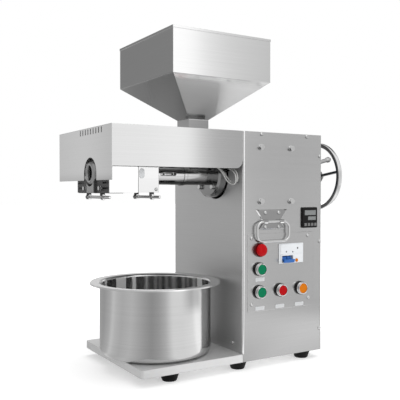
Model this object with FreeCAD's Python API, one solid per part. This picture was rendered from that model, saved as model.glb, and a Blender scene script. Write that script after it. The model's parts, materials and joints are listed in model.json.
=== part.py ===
import FreeCAD, Part
import math
import os

# Screw oil press. Millimetres. The design frame has its origin at the cabinet's front left
# corner, on the floor: +X along the control face away from the press end, +Y to the rear, +Z up.
# Every solid is moved at export so that the origin is the middle of the whole, on the floor.

V = FreeCAD.Vector
X_AXIS = V(1, 0, 0)
Y_AXIS = V(0, 1, 0)
Z_AXIS = V(0, 0, 1)

# ---- driving dimensions -----------------------------------------------------------------
CENTRE_X = 25.65         # middle of the whole, in the design frame
CENTRE_Y = 149.25

FOOT_H = 18.0
FOOT_TOP_R = 20.0
FOOT_XS = (-167.0, 3.0, 184.0)
FOOT_YS = (25.0, 275.0)

SHEET = 1.5
CAB_W = 222.0            # cabinet, X
CAB_D = 300.0            # cabinet, Y
CAB_H = 500.0            # cabinet, above the tray's lower edge
BASE_Z = FOOT_H
TOP_Z = BASE_Z + CAB_H
TRAY_LEFT = -242.0
TRAY_H = 17.0

AXIS_Y = 111.0           # press, reducer, motor and handwheel share one axis along X
AXIS_Z = BASE_Z + 407.0

HOOD_LEFT = -305.0
HOOD_GAP = 0.8           # dark seam between hood and cabinet
HOOD_SIDE_Z = BASE_Z + 419.0
HOOD_END_Z = BASE_Z + 392.0
ARCH_R = 34.0
ARCH_DROP = 2.0          # middle of the arch below the press axis
FOLD_R = 5.0             # rounded fold of the cabinet's near-left corner
HOOD_CORNER_R = 18.0

HOPPER_X = -60.0
HOPPER_W = 241.0
HOPPER_D = 254.0
HOPPER_TOP_Z = BASE_Z + 699.5
HOPPER_FOLD_Z = BASE_Z + 606.0
HOPPER_FUNNEL_Z = BASE_Z + 529.0
NECK = 51.0
HOPPER_T = 1.2
HEM_H = 5.0              # hem folded out round the hopper's rim

BARREL_R = 23.0
BORE_R = 17.0
FLANGE_R = 51.0
FLANGE_T = 22.0
FLANGE_BOLT_R = 38.0
WALL_HOLE_R = 53.4       # opening in the cabinet wall round the flange
WALL_HOLE_SHIFT = 1.3    # forwards and down, so the gap is wider there
LEAD_NOTCH = (54.5, 440.5)  # y, z of the notch that the heater leads pass
LEAD_NOTCH_R = 8.0
COLLAR_X = -86.0         # right face of the collar between feed barrel and cage
COLLAR_T = 8.0
COLLAR_R = 24.6
CAGE_LEFT = -186.0
SLOT_L = 40.0
SLOT_W = 6.8
PORT_X = -54.0           # middle of the feed port
PORT_W = 38.0

HEAD_LEFT = -301.0
HEAD_R = 27.0
CAKE_R = 14.5

BLOCK_X0 = -302.0
BLOCK_X1 = -272.0
BLOCK_Y0 = 18.0
BLOCK_Y1 = 187.0
BLOCK_Z0 = BASE_Z + 366.0
BLOCK_Z1 = BASE_Z + 392.0
BOSS_T = 4.0             # how far the boss under the nozzle stands out of the block
GROOVE_T = 4.0           # depth of the two grooves at each end of the block

GUARD_Y = 16.0
GUARD_Y_REAR = 187.1
GUARD_T = 1.9
GUARD_LEFT = -303.0
GUARD_SEAM = -241.5
GUARD_RIGHT = -195.0
GUARD_Z0 = BASE_Z + 367.0
GUARD_Z1 = BASE_Z + 462.0
TIE_Z = BASE_Z + 358.0   # clamp bolts under the block and under the cage's coupling
TIE_XS = (-293.0, -182.5)
TIE_SPAN = 39.0          # from the press axis to the outer face of each lug
LUG_T = 4.5
LUG_W = 9.0
TIE_NEAR_Y = 37.0

MOTOR_R = 49.0
MOTOR_X0 = 143.0
MOTOR_X1 = 262.0
COWL_X1 = 276.0
SHAFT_R = 7.0
WHEEL_X = 305.0          # foot of the handwheel's hub
WHEEL_MID = 309.5        # middle plane of its rim
WHEEL_R = 85.0
WHEEL_T = 14.0

BOX_X0 = 38.0            # reducer housing
BOX_X1 = 142.0
BOX_Y1 = 232.0
BOX_Z0 = AXIS_Z - 70.0
BOX_Z1 = AXIS_Z + 70.0
WALL = 9.0
LAY_Y = AXIS_Y + 60.0    # layshaft, behind the output
GEAR_FAST_M = 1.25
GEAR_FAST_PINION = 16
GEAR_FAST_WHEEL = 80
GEAR_SLOW_M = 1.5
GEAR_SLOW_PINION = 16
GEAR_SLOW_WHEEL = 64

PLATE_X0 = 12.0          # control plate on the cabinet front
PLATE_X1 = 197.0
PLATE_Z0 = BASE_Z + 106.0
PLATE_Z1 = BASE_Z + 277.0
PLATE_T = 1.0
BUTTON_ROW_Z = BASE_Z + 149.5
START_Z = BASE_Z + 199.5
STOP_X = 43.5
STOP_Z = BASE_Z + 241.5
COLUMN_X = (42.0, 100.0, 158.5)
LABEL_Z = BASE_Z + 113.0

BREAKER_X0 = 96.6
BREAKER_X1 = 166.0
BREAKER_Z0 = BASE_Z + 207.9
BREAKER_Z1 = BASE_Z + 252.3
BREAKER_WINDOW = (63.0, 42.0)
BREAKER_CX = (BREAKER_X0 + BREAKER_X1) / 2
BREAKER_CZ = (BREAKER_Z0 + BREAKER_Z1) / 2
TOGGLE_PIVOT = V(BREAKER_CX - 12.8, 1.0, BREAKER_CZ - 11.8)
TOGGLE_TILT = 20.0       # the toggles lean down at rest and as far up when closed

CTRL_X = 185.5
CTRL_Z = BASE_Z + 309.5
CTRL_W = 44.5
CTRL_H = 47.0
CTRL_Y = -4.6            # front of the controller's bezel

HANDLE_X = 76.5
HANDLE_Z = BASE_Z + 303.0  # height of the bail's axis
HANDLE_TOP = 26.5        # upper and lower ends of the waisted plate, from the axis
HANDLE_LOW = 17.5
HANDLE_WAIST = 54.0
HANDLE_T = 2.6
HANDLE_EYE_X = 22.0
BAIL_R = 2.6
BAIL_Y = 8.0             # bail axis, in front of the panel
BAIL_W = 88.0
BAIL_H = 43.5
BAIL_BEND = 15.0

LEAD_R = 1.6             # heater leads: each route is a list of points, bent at every point
LEAD_A = [(-194, 130, 465), (-172, 130, 465), (-143, 121, 463.5), (-113, 103, 460), (-86, 84, 455),
          (-62, 66, 449), (-41, 52, 439), (-31, 45, 427), (-24, 42, 413), (-17, 36, 402.5), (-13, 26, 397),
          (-11, 12, 402.5), (-11, 12, 417.5), (-10.5, 20, 428.5), (-9, 33, 434), (-7, 46, 437), (3, 57, 437),
          (15, 56, 432), (22, 47, 418), (23, 45, 396), (25, 45, 370), (32, 48, 346), (47, 56, 331),
          (70, 68, 323), (97, 84, 319), (124, 98, 318), (150, 107, 321), (168.5, 105, 325),
          (176.5, 92, 328), (176.5, 78, 328)]
LEAD_B = [(-194, 137, 460), (-170, 137, 460), (-141, 128, 459), (-109, 110, 457), (-80, 90, 454),
          (-55, 73, 447), (-36, 56.5, 437), (-26, 48, 424.5), (-18, 43, 412), (-12, 36.5, 404.5), (-8, 27, 400.5),
          (-6, 12.5, 406), (-5.8, 12.5, 421), (-5.5, 21, 432), (-5.2, 34, 438), (-6, 47, 442.5),
          (2, 58, 444), (15, 60, 440.5), (25, 51, 426), (28, 41, 404), (29, 36, 377), (33, 35, 350),
          (48, 43, 330), (71, 55, 318), (100, 73, 313), (129, 91, 313), (155, 101, 316), (174, 102, 321),
          (183.5, 91, 325), (183.5, 78, 325)]

POT_X = -146.0
POT_Y = 128.0
POT_RIM_R = 144.0
POT_R = 122.0
POT_H = 155.5
POT_T = 1.2
TRAY_TOP = BASE_Z + TRAY_H


# ---- small shape helpers ------------------------------------------------------------------
def box(x0, x1, y0, y1, z0, z1):
    return Part.makeBox(x1 - x0, y1 - y0, z1 - z0, V(x0, y0, z0))


def rod_x(r, x0, x1, y=AXIS_Y, z=AXIS_Z):
    return Part.makeCylinder(r, x1 - x0, V(x0, y, z), X_AXIS)


def rod_y(r, y0, y1, x, z):
    return Part.makeCylinder(r, y1 - y0, V(x, y0, z), Y_AXIS)


def rod_z(r, z0, z1, x, y):
    return Part.makeCylinder(r, z1 - z0, V(x, y, z0), Z_AXIS)


def fuse(shapes):
    first = shapes[0]
    if len(shapes) > 1:
        first = first.fuse(shapes[1:])
    return first.removeSplitter()


def cut(shape, tools):
    return shape.cut(tools).removeSplitter()


def revolve_x(points, y=AXIS_Y, z=AXIS_Z):
    """Solid of revolution about a line along X; points are (x, radius)."""
    wire = Part.makePolygon([V(x, y, z + r) for x, r in points] + [V(points[0][0], y, z + points[0][1])])
    return Part.Face(wire).revolve(V(0, y, z), X_AXIS, 360)


def revolve_z(points, x, y):
    """Solid of revolution about a line along Z; points are (radius, z)."""
    wire = Part.makePolygon([V(x + r, y, z) for r, z in points] + [V(x + points[0][0], y, points[0][1])])
    return Part.Face(wire).revolve(V(x, y, 0), Z_AXIS, 360)


def revolve_y(points, x, z):
    """Solid of revolution about a line along Y; points are (y, radius)."""
    wire = Part.makePolygon([V(x + r, y, z) for y, r in points] + [V(x + points[0][1], points[0][0], z)])
    return Part.Face(wire).revolve(V(x, 0, z), Y_AXIS, 360)


def hexagon(across, height, centre, direction):
    """Hexagonal prism standing on centre along direction."""
    r = across / math.sqrt(3.0)
    ring = [V(r * math.cos(math.radians(60 * i)), r * math.sin(math.radians(60 * i)), 0) for i in range(7)]
    prism = Part.Face(Part.makePolygon(ring)).extrude(V(0, 0, height))
    prism.Placement = FreeCAD.Placement(centre, FreeCAD.Rotation(Z_AXIS, direction))
    return prism


def turned(profile, centre, direction):
    """Solid of revolution from (radius, height) points, standing on centre along direction."""
    ring = [V(r, 0, h) for r, h in profile]
    solid = Part.Face(Part.makePolygon(ring + [ring[0]])).revolve(V(0, 0, 0), Z_AXIS, 360)
    solid.Placement = FreeCAD.Placement(centre, FreeCAD.Rotation(Z_AXIS, direction))
    return solid


def pan_screw(centre, direction, head_r=4.0, shank_r=1.9, shank=6.0):
    """Domed screw with a cross recess; centre is where the head sits, direction points outwards."""
    head = turned([(0, -shank), (shank_r, -shank), (shank_r, 0), (head_r, 0), (head_r, 0.9),
                   (head_r * 0.72, 2.1), (0, 2.6)], centre, direction)
    slots = []
    for angle in (0, 90):
        arm = Part.makeBox(head_r * 1.1, 0.9, 1.6, V(-head_r * 0.55, -0.45, 1.4))
        arm.rotate(V(0, 0, 0), Z_AXIS, angle + 20)
        slots.append(arm)
    cross = slots[0].fuse(slots[1])
    cross.Placement = FreeCAD.Placement(centre, FreeCAD.Rotation(Z_AXIS, direction))
    return head.cut(cross)


def hex_bolt(centre, direction, across=13.0, head=5.5, shank_r=4.0, shank=20.0):
    """Hex bolt with a washer; centre is where the washer sits, direction points outwards."""
    washer = turned([(0, 0), (across * 0.62, 0), (across * 0.62, 1.4), (0, 1.4)], centre, direction)
    top = hexagon(across, head, centre + direction * 1.4, direction)
    stem = turned([(0, -shank), (shank_r, -shank), (shank_r, 1.0), (0, 1.0)], centre, direction)
    return fuse([washer, top, stem])


def rounded_rect_wire(width, height, radius, centre, u, v):
    """Closed wire of a rounded rectangle in the plane of u and v."""
    w = width / 2 - radius
    h = height / 2 - radius
    k = radius * math.sqrt(0.5)
    corners = [(w, h, 1, 1), (-w, h, -1, 1), (-w, -h, -1, -1), (w, -h, 1, -1)]
    edges = []

    def at(a, b):
        return centre + u * a + v * b

    starts = []
    ends = []
    for index, (cx, cz, sx, sz) in enumerate(corners):
        side = at(cx + sx * radius, cz)
        level = at(cx, cz + sz * radius)
        middle = at(cx + sx * k, cz + sz * k)
        first, last = (side, level) if index % 2 == 0 else (level, side)
        edges.append(Part.Arc(first, middle, last).toShape())
        starts.append(first)
        ends.append(last)
    for index in range(4):
        edges.append(Part.makeLine(ends[index], starts[(index + 1) % 4]))
    return Part.Wire(Part.__sortEdges__(edges))


def rounded_box_y(x, z, width, height, y0, y1, radius):
    """Block with rounded upright corners, pushed along Y."""
    wire = rounded_rect_wire(width, height, radius, V(x, y0, z), X_AXIS, Z_AXIS)
    return Part.Face(wire).extrude(V(0, y1 - y0, 0))


def cord(points, radius):
    """Round cord: straight runs joined by tangent arcs, each as large as its two runs allow."""
    edges = []
    bends = []
    here = points[0]
    for before, corner, after in zip(points, points[1:], points[2:]):
        back = before - corner
        on = after - corner
        half = (math.pi - back.getAngle(on)) / 2
        reach = 0.45 * min(back.Length, on.Length)
        bend = reach / math.tan(half)
        back.normalize()
        on.normalize()
        start = corner + back * reach
        end = corner + on * reach
        middle = corner + (back + on).normalize() * (bend / math.cos(half) - bend)
        edges.append(Part.makeLine(here, start))
        edges.append(Part.Arc(start, middle, end).toShape())
        bends.append(bend)
        here = end
    edges.append(Part.makeLine(here, points[-1]))
    path = Part.Wire(edges)
    section = Part.Wire(Part.makeCircle(radius, points[0], points[1] - points[0]))
    solid = path.makePipeShell([section], True, True)
    print("cord length %.1f, volume / (section x length) %.4f, bends" % (
        path.Length, solid.Volume / (math.pi * radius ** 2 * path.Length)), [round(r, 1) for r in bends])
    return solid


# ---- base, feet and cabinet ---------------------------------------------------------------
def base_tray():
    left = box(TRAY_LEFT, -0.3, 0, CAB_D, BASE_Z, TRAY_TOP)
    left = left.makeFillet(6.0, [e for e in left.Edges
                                 if abs(e.Vertexes[0].X - TRAY_LEFT) < 0.1
                                 and abs(e.Vertexes[1].X - TRAY_LEFT) < 0.1
                                 and abs(e.Vertexes[0].Z - e.Vertexes[1].Z) > 5])
    under = box(-0.3, CAB_W - 1.8, SHEET + 0.3, CAB_D - SHEET - 0.3, BASE_Z, TRAY_TOP)
    outer = fuse([left, under])
    hollow = box(TRAY_LEFT + SHEET, CAB_W - 1.8 - SHEET, 2 * SHEET + 0.3, CAB_D - 2 * SHEET - 0.3,
                 BASE_Z - 1, TRAY_TOP - SHEET)
    holes = [rod_z(3.2, BASE_Z - 1, TRAY_TOP + 1, x, y) for x in FOOT_XS for y in FOOT_YS]
    pads = [rod_z(9.0, BASE_Z + 0.01, TRAY_TOP - SHEET + 0.2, x, y) for x in FOOT_XS for y in FOOT_YS]
    body = fuse([cut(outer, [hollow])] + pads)
    return cut(body, holes)


def rubber_feet():
    feet = []
    for x in FOOT_XS:
        for y in FOOT_YS:
            foot = revolve_z([(3.2, BASE_Z), (FOOT_TOP_R, BASE_Z), (FOOT_TOP_R, BASE_Z - 3.5),
                              (FOOT_TOP_R - 4.5, 1.2), (FOOT_TOP_R - 5.7, 0), (8.0, 0), (8.0, 7.0),
                              (3.2, 7.0)], x, y)
            feet.append(foot)
    return Part.makeCompound(feet)


def foot_screws():
    screws = []
    for x in FOOT_XS:
        for y in FOOT_YS:
            head = rod_z(6.0, 3.0, 6.95, x, y)
            stem = rod_z(2.9, 6.0, TRAY_TOP - 0.3, x, y)
            screws.append(fuse([head, stem]))
    return Part.makeCompound(screws)


FRONT_SCREWS = [(218.0, BASE_Z + 451.0), (218.0, BASE_Z + 253.0), (218.0, BASE_Z + 50.0)]
TOP_SCREWS = [(49.6, BASE_Z + 495.0), (178.4, BASE_Z + 495.0)]
GEARBOX_BOLTS = [(48.0, AXIS_Z + 59.5), (132.5, AXIS_Z + 59.5), (48.0, AXIS_Z - 59.5),
                 (132.5, AXIS_Z - 59.5)]
PLATE_SCREWS = [(22.0, BASE_Z + 267.5), (181.0, BASE_Z + 268.5), (22.0, BASE_Z + 123.0),
                (183.0, BASE_Z + 125.0)]
HANDLE_SCREWS = [(HANDLE_X + dx, HANDLE_Z + dz) for dx in (-18.5, 18.5) for dz in (-11.8, 19.5)]


def fold_waste(at, radius, z0, z1):
    """What a rounded fold leaves off a square corner whose walls meet at x = y = at."""
    return box(at, at + radius, at, at + radius, z0, z1).cut(rod_z(radius, z0, z1, at + radius, at + radius))


def cabinet_shell():
    outer = box(0, CAB_W - 1.7, 0, CAB_D, BASE_Z, TOP_Z)
    hollow = box(SHEET, CAB_W + 1, SHEET, CAB_D - SHEET, BASE_Z - 1, TOP_Z - SHEET)
    inner_r = FOLD_R - SHEET
    hollow = hollow.cut(fold_waste(SHEET, inner_r, TRAY_TOP + 0.5, TOP_Z))
    shell = cut(outer, [hollow, fold_waste(-0.01, FOLD_R + 0.01, TRAY_TOP, TOP_Z + 1)])
    tools = [
        rod_x(WALL_HOLE_R, -1, SHEET + 1, AXIS_Y - WALL_HOLE_SHIFT, AXIS_Z - WALL_HOLE_SHIFT),
        rod_x(LEAD_NOTCH_R, -1, SHEET + 1, *LEAD_NOTCH),
        box(-1, SHEET + 1, SHEET, CAB_D - SHEET, BASE_Z - 1, TRAY_TOP + 0.3),
        rounded_box_y(BREAKER_CX, BREAKER_CZ, *BREAKER_WINDOW, -1, 3, 0.2),
        rounded_box_y(CTRL_X, CTRL_Z, CTRL_W - 4.0, CTRL_H - 4.0, -1, 3, 1.0),
        rod_y(8.0, CAB_D - 3, CAB_D + 1, 60.0, BASE_Z + 60.0),
    ]
    tools += [rod_y(11.2, -1, 3, x, BUTTON_ROW_Z) for x in COLUMN_X]
    tools += [rod_y(11.2, -1, 3, x, z) for x, z in ((COLUMN_X[0], START_Z), (STOP_X, STOP_Z))]
    tools += [rod_y(2.0, -1, 3, x, z) for x, z in FRONT_SCREWS + TOP_SCREWS + PLATE_SCREWS + HANDLE_SCREWS]
    tools += [rod_y(2.0, CAB_D - 3, CAB_D + 1, x, z) for x, z in HANDLE_SCREWS + FRONT_SCREWS]
    tools += [rod_y(3.3, -1, 3, x, z) for x, z in GEARBOX_BOLTS]
    tools += [rod_x(2.0, -1, 3, y, BASE_Z + 35.0) for y in (40.0, 260.0)]
    for row in range(7):
        z = BASE_Z + 70.0 + 11.0 * row
        tools.append(rounded_box_y(150.0, z, 90.0, 4.0, CAB_D - 3, CAB_D + 1, 1.9))
    return cut(shell, tools)


def side_cover():
    """Right-hand cover: flat panel with flanges that turn in behind the front and the back."""
    panel = box(CAB_W - SHEET, CAB_W, 0, CAB_D, BASE_Z, TOP_Z)
    flanges = [box(CAB_W - 16, CAB_W - 1, SHEET + 0.1, 2 * SHEET + 0.1, TRAY_TOP + 1, TOP_Z - 3),
               box(CAB_W - 16, CAB_W - 1, CAB_D - 2 * SHEET - 0.1, CAB_D - SHEET - 0.1,
                   TRAY_TOP + 1, TOP_Z - 3)]
    body = fuse([panel] + flanges)
    tools = [rod_x(MOTOR_R + 2.5, CAB_W - 3, CAB_W + 1)]
    tools += [rod_y(1.9, 0, 5, x, z) for x, z in FRONT_SCREWS]
    tools += [rod_y(1.9, CAB_D - 5, CAB_D, x, z) for x, z in FRONT_SCREWS]
    louvres = []
    for row in range(8):
        z = BASE_Z + 90.0 + 20.0 * row
        tools.append(box(CAB_W - 3, CAB_W + 1, 90.0, 210.0, z, z + 6.0))
        hood = Part.Face(Part.makePolygon([V(CAB_W - 0.5, 88, z + 7.5), V(CAB_W + 5, 88, z + 1.0),
                                           V(CAB_W + 5.8, 88, z + 1.8), V(CAB_W - 0.5, 88, z + 9.0),
                                           V(CAB_W - 0.5, 88, z + 7.5)]))
        louvres.append(hood.extrude(V(0, 124, 0)))
    return fuse([cut(body, tools)] + louvres)


def casing_screws():
    """Pan screws of the cabinet, the hood, the oil guard, the control plate and the chest handles."""
    out = V(0, -1, 0)
    back = V(0, 1, 0)
    left = V(-1, 0, 0)
    screws = [pan_screw(V(x, 0, z), out) for x, z in FRONT_SCREWS + TOP_SCREWS]
    screws += [pan_screw(V(x, CAB_D, z), back) for x, z in FRONT_SCREWS]
    screws += [pan_screw(V(0, y, BASE_Z + 35.0), left) for y in (40.0, 260.0)]
    screws += [pan_screw(V(-HOOD_GAP - 1.0, y, z), left, shank=0.7 + HOOD_GAP) for y, z in HOOD_SCREWS]
    guard_screw = V(GUARD_RIGHT - 6.0, GUARD_Y + GUARD_T, GUARD_Z0 + 7.0)
    screws.append(pan_screw(guard_screw, out, head_r=3.4, shank_r=1.8))
    screws += [pan_screw(V(x, -PLATE_T, z), out) for x, z in PLATE_SCREWS]
    screws += [pan_screw(V(x, -HANDLE_T, z), out) for x, z in HANDLE_SCREWS]
    screws += [pan_screw(V(x, CAB_D + HANDLE_T, z), back) for x, z in HANDLE_SCREWS]
    return Part.makeCompound(screws)


# ---- control face ---------------------------------------------------------------------------
def control_plate():
    plate = rounded_box_y((PLATE_X0 + PLATE_X1) / 2, (PLATE_Z0 + PLATE_Z1) / 2, PLATE_X1 - PLATE_X0,
                          PLATE_Z1 - PLATE_Z0, -PLATE_T, 0, 2.0)
    tools = [rounded_box_y(BREAKER_CX, BREAKER_CZ, *BREAKER_WINDOW, -3, 1, 0.2)]
    tools += [rod_y(11.2, -3, 1, x, BUTTON_ROW_Z) for x in COLUMN_X]
    tools += [rod_y(11.2, -3, 1, x, z) for x, z in ((COLUMN_X[0], START_Z), (STOP_X, STOP_Z))]
    tools += [rod_y(2.0, -3, 1, x, z) for x, z in PLATE_SCREWS]
    return cut(plate, tools)


def controller_body():
    """Panel controller: case behind the cabinet front, bezel with two windows and four key slots."""
    half_w = CTRL_W / 2 - 2.3
    half_h = CTRL_H / 2 - 2.3
    case = box(CTRL_X - half_w, CTRL_X + half_w, -1, 78, CTRL_Z - half_h, CTRL_Z + half_h)
    bezel = rounded_box_y(CTRL_X, CTRL_Z, CTRL_W, CTRL_H, CTRL_Y, 0, 2.5)
    front = [e for e in bezel.Edges if abs(e.BoundBox.YMin - CTRL_Y) < 0.01 and e.BoundBox.YLength < 0.01]
    bezel = bezel.makeChamfer(1.0, front)
    tools = [box(CTRL_X - x0, CTRL_X + x1, CTRL_Y - 1, CTRL_Y + 1.4, CTRL_Z + z0, CTRL_Z + z1)
             for x0, x1, z0, z1 in DISPLAYS]
    tools += [box(x - 3.7, x + 3.7, CTRL_Y - 1, CTRL_Y + 4.4, CTRL_Z - 19.6, CTRL_Z - 12.4) for x in key_xs()]
    return cut(fuse([case, bezel]), tools)


DISPLAYS = [(15.9, 17.8, 5.3, 16.8), (6.0, 17.8, -6.2, 2.6)]   # left, right, bottom, top from the middle


def key_xs():
    return [CTRL_X - 13.6 + 9.8 * i for i in range(4)]


def controller_displays():
    return Part.makeCompound([box(CTRL_X - x0 + 0.1, CTRL_X + x1 - 0.1, CTRL_Y + 0.4, CTRL_Y + 1.4,
                                  CTRL_Z + z0 + 0.1, CTRL_Z + z1 - 0.1) for x0, x1, z0, z1 in DISPLAYS])


def controller_key(index):
    x = key_xs()[index]
    key = box(x - 3.5, x + 3.5, CTRL_Y - 0.8, CTRL_Y + 3.4, CTRL_Z - 19.4, CTRL_Z - 12.6)
    return key.makeChamfer(0.5, [e for e in key.Edges if e.BoundBox.YMax < CTRL_Y - 0.7])


def button_places():
    return [(COLUMN_X[0], START_Z)] + [(x, BUTTON_ROW_Z) for x in COLUMN_X]


def button_gaskets():
    """Dark rings between the control plate and the collars of the four push buttons."""
    profile = [(-6.0, 11.2), (-6.0, 14.4), (-5.4, 15.0), (-PLATE_T, 15.0), (-PLATE_T, 11.2)]
    return Part.makeCompound([revolve_y(profile, x, z) for x, z in button_places()])


def button_bezels():
    """Chrome collars of the four push buttons, with the threaded bodies behind the panel."""
    profile = [(-13.5, 11.5), (-14.0, 12.0), (-13.6, 12.6), (-12.6, 12.9), (-7.6, 12.9), (-7.0, 13.6),
               (-6.0, 13.6), (-6.0, 11.0), (26.0, 11.0), (26.0, 9.0), (-6.8, 9.0), (-6.8, 11.5)]
    return Part.makeCompound([revolve_y(profile, x, z) for x, z in button_places()])


def push_button(x, z):
    return revolve_y([(-13.4, 0), (-13.4, 9.8), (-13.1, 10.6), (-12.3, 11.1), (-9.7, 11.1), (-9.7, 8.6),
                      (20.0, 8.6), (20.0, 0)], x, z)


def stop_base():
    """Dark ring and threaded body of the stop button."""
    return revolve_y([(-6.5, 14.1), (-6.5, 14.9), (-5.5, 15.4), (-PLATE_T, 15.4), (-PLATE_T, 11.0),
                      (28.0, 11.0), (28.0, 8.0), (-3.0, 8.0), (-3.0, 14.1)], STOP_X, STOP_Z)


def stop_button():
    return revolve_y([(-16.5, 0), (-16.2, 5.0), (-15.2, 9.5), (-13.2, 12.4), (-10.8, 13.6), (-7.5, 13.6),
                      (-7.5, 7.6), (20.0, 7.6), (20.0, 0)], STOP_X, STOP_Z)


def breaker_body():
    """Two-pole breaker with a leakage module: stepped nose in the window, case behind the panel."""
    cx = BREAKER_CX
    cz = BREAKER_CZ
    width, height = BREAKER_WINDOW
    w = width / 2 - 0.3
    h = height / 2 - 0.3
    frame = rounded_box_y(cx, cz, BREAKER_X1 - BREAKER_X0, BREAKER_Z1 - BREAKER_Z0, -3.2, -PLATE_T, 1.5)
    nose = box(cx - w, cx + w, -4.6, 60.0, cz - h, cz + h)
    step = box(cx - w, cx + w, -6.4, -4.6, cz - h, cz - 1.5)
    body = fuse([frame, nose, step])
    tools = [box(cx - 29.0, cx + 2.4, -9, 10.0, cz - 19.6, cz - 4.6),
             rod_y(4.1, -9, 6.0, TEST_X, TEST_Z)]
    return cut(body, tools)


TEST_X = BREAKER_CX + 12.8
TEST_Z = BREAKER_CZ - 16.3


def breaker_toggle():
    """Two toggles joined by a wide tie bar, turning on one pin along X."""
    x0 = BREAKER_CX - 28.4
    z = TOGGLE_PIVOT.z
    pin = rod_x(3.0, x0, x0 + 28.0, TOGGLE_PIVOT.y, z)
    drums = [rod_x(5.4, x0 + 1, x0 + 13, TOGGLE_PIVOT.y, z), rod_x(5.4, x0 + 15, x0 + 27, TOGGLE_PIVOT.y, z)]
    levers = [box(x0 + dx, x0 + dx + 8, -14.0, 0, z - 2.2, z + 2.2) for dx in (2.5, 20)]
    bar = box(x0 + 0.4, x0 + 30.2, -14.6, -10.6, z - 3.6, z + 3.6)
    bar = bar.makeFillet(1.0, [e for e in bar.Edges if e.BoundBox.YMax < -14.5])
    toggle = fuse([pin] + drums + levers + [bar])
    toggle.rotate(TOGGLE_PIVOT, X_AXIS, TOGGLE_TILT)
    return toggle


def breaker_test_button():
    return turned([(0, 0), (3.8, 0), (3.8, 10.6), (3.0, 11.4), (0, 11.4)], V(TEST_X, 3.4, TEST_Z),
                  V(0, -1, 0))


def label_plates():
    """Bare sticker blanks by the buttons and one on the oil guard."""
    spots = [(COLUMN_X[0] + 2.5, BASE_Z + 176.5), (COLUMN_X[0] + 2.5, LABEL_Z), (COLUMN_X[1] + 0.2, LABEL_Z),
             (COLUMN_X[2] - 2.4, LABEL_Z)]
    plates = [rounded_box_y(x, z, 25.0, 8.6, -PLATE_T - 0.5, -PLATE_T, 1.5) for x, z in spots]
    front = GUARD_Y + GUARD_T
    guard = rounded_box_y(GUARD_SEAM + 9.0, BASE_Z + 405.5, 11.0, 20.0, front - 0.5, front, 5.4)
    return Part.makeCompound(plates + [guard])


def handle_plate(rear=False):
    """Waisted plate with bevelled edges and two eyes that hold the bail."""
    waist = HANDLE_WAIST / 2
    outline = [(-44.0, HANDLE_TOP), (44.0, HANDLE_TOP), (waist, 4.0), (waist, -4.0), (36.0, -HANDLE_LOW),
               (-36.0, -HANDLE_LOW), (-waist, -4.0), (-waist, 4.0)]
    ring = [V(HANDLE_X + dx, 0, HANDLE_Z + dz) for dx, dz in outline + outline[:1]]
    plate = Part.Face(Part.makePolygon(ring)).extrude(V(0, -HANDLE_T, 0))
    plate = plate.makeChamfer(2.0, [e for e in plate.Edges if e.BoundBox.YMax < -HANDLE_T + 0.01])
    eyes = []
    for side in (-1, 1):
        x = HANDLE_X + side * HANDLE_EYE_X
        eyes.append(rod_x(BAIL_R + 2.0, x - 5, x + 5, -BAIL_Y, HANDLE_Z))
        eyes.append(box(x - 5, x + 5, -BAIL_Y, -1.0, HANDLE_Z - BAIL_R - 2.0, HANDLE_Z + BAIL_R + 2.0))
    body = fuse([plate] + eyes)
    bore = rod_x(BAIL_R + 0.35, HANDLE_X - 40, HANDLE_X + 40, -BAIL_Y, HANDLE_Z)
    tools = [bore] + [rod_y(2.0, -4, 1, x, z) for x, z in HANDLE_SCREWS]
    body = cut(body, tools)
    return mirrored_to_rear(body) if rear else body


def mirrored_to_rear(shape):
    return shape.mirror(V(0, CAB_D / 2, 0), Y_AXIS)


def handle_plates():
    return Part.makeCompound([handle_plate(), handle_plate(rear=True)])


def bail(rear=False):
    """Wire loop whose upper run turns in the eyes and which hangs straight down."""
    centre = V(HANDLE_X, -BAIL_Y, HANDLE_Z - BAIL_H / 2)
    loop = rounded_rect_wire(BAIL_W, BAIL_H, BAIL_BEND, centre, X_AXIS, Z_AXIS)
    top = [e for e in loop.Edges if abs(e.BoundBox.ZMin - HANDLE_Z) < 0.01][0]
    rest = [e for e in loop.Edges if not e.isSame(top)]
    start = V(HANDLE_X, -BAIL_Y, HANDLE_Z)
    left, right = top.Vertexes[0].Point, top.Vertexes[1].Point
    path = Part.Wire(Part.__sortEdges__([Part.makeLine(start, right)] + rest + [Part.makeLine(left, start)]))
    section = Part.Wire(Part.makeCircle(BAIL_R, start, X_AXIS))
    wire = path.makePipeShell([section], True, True)
    return mirrored_to_rear(wire) if rear else wire


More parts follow.
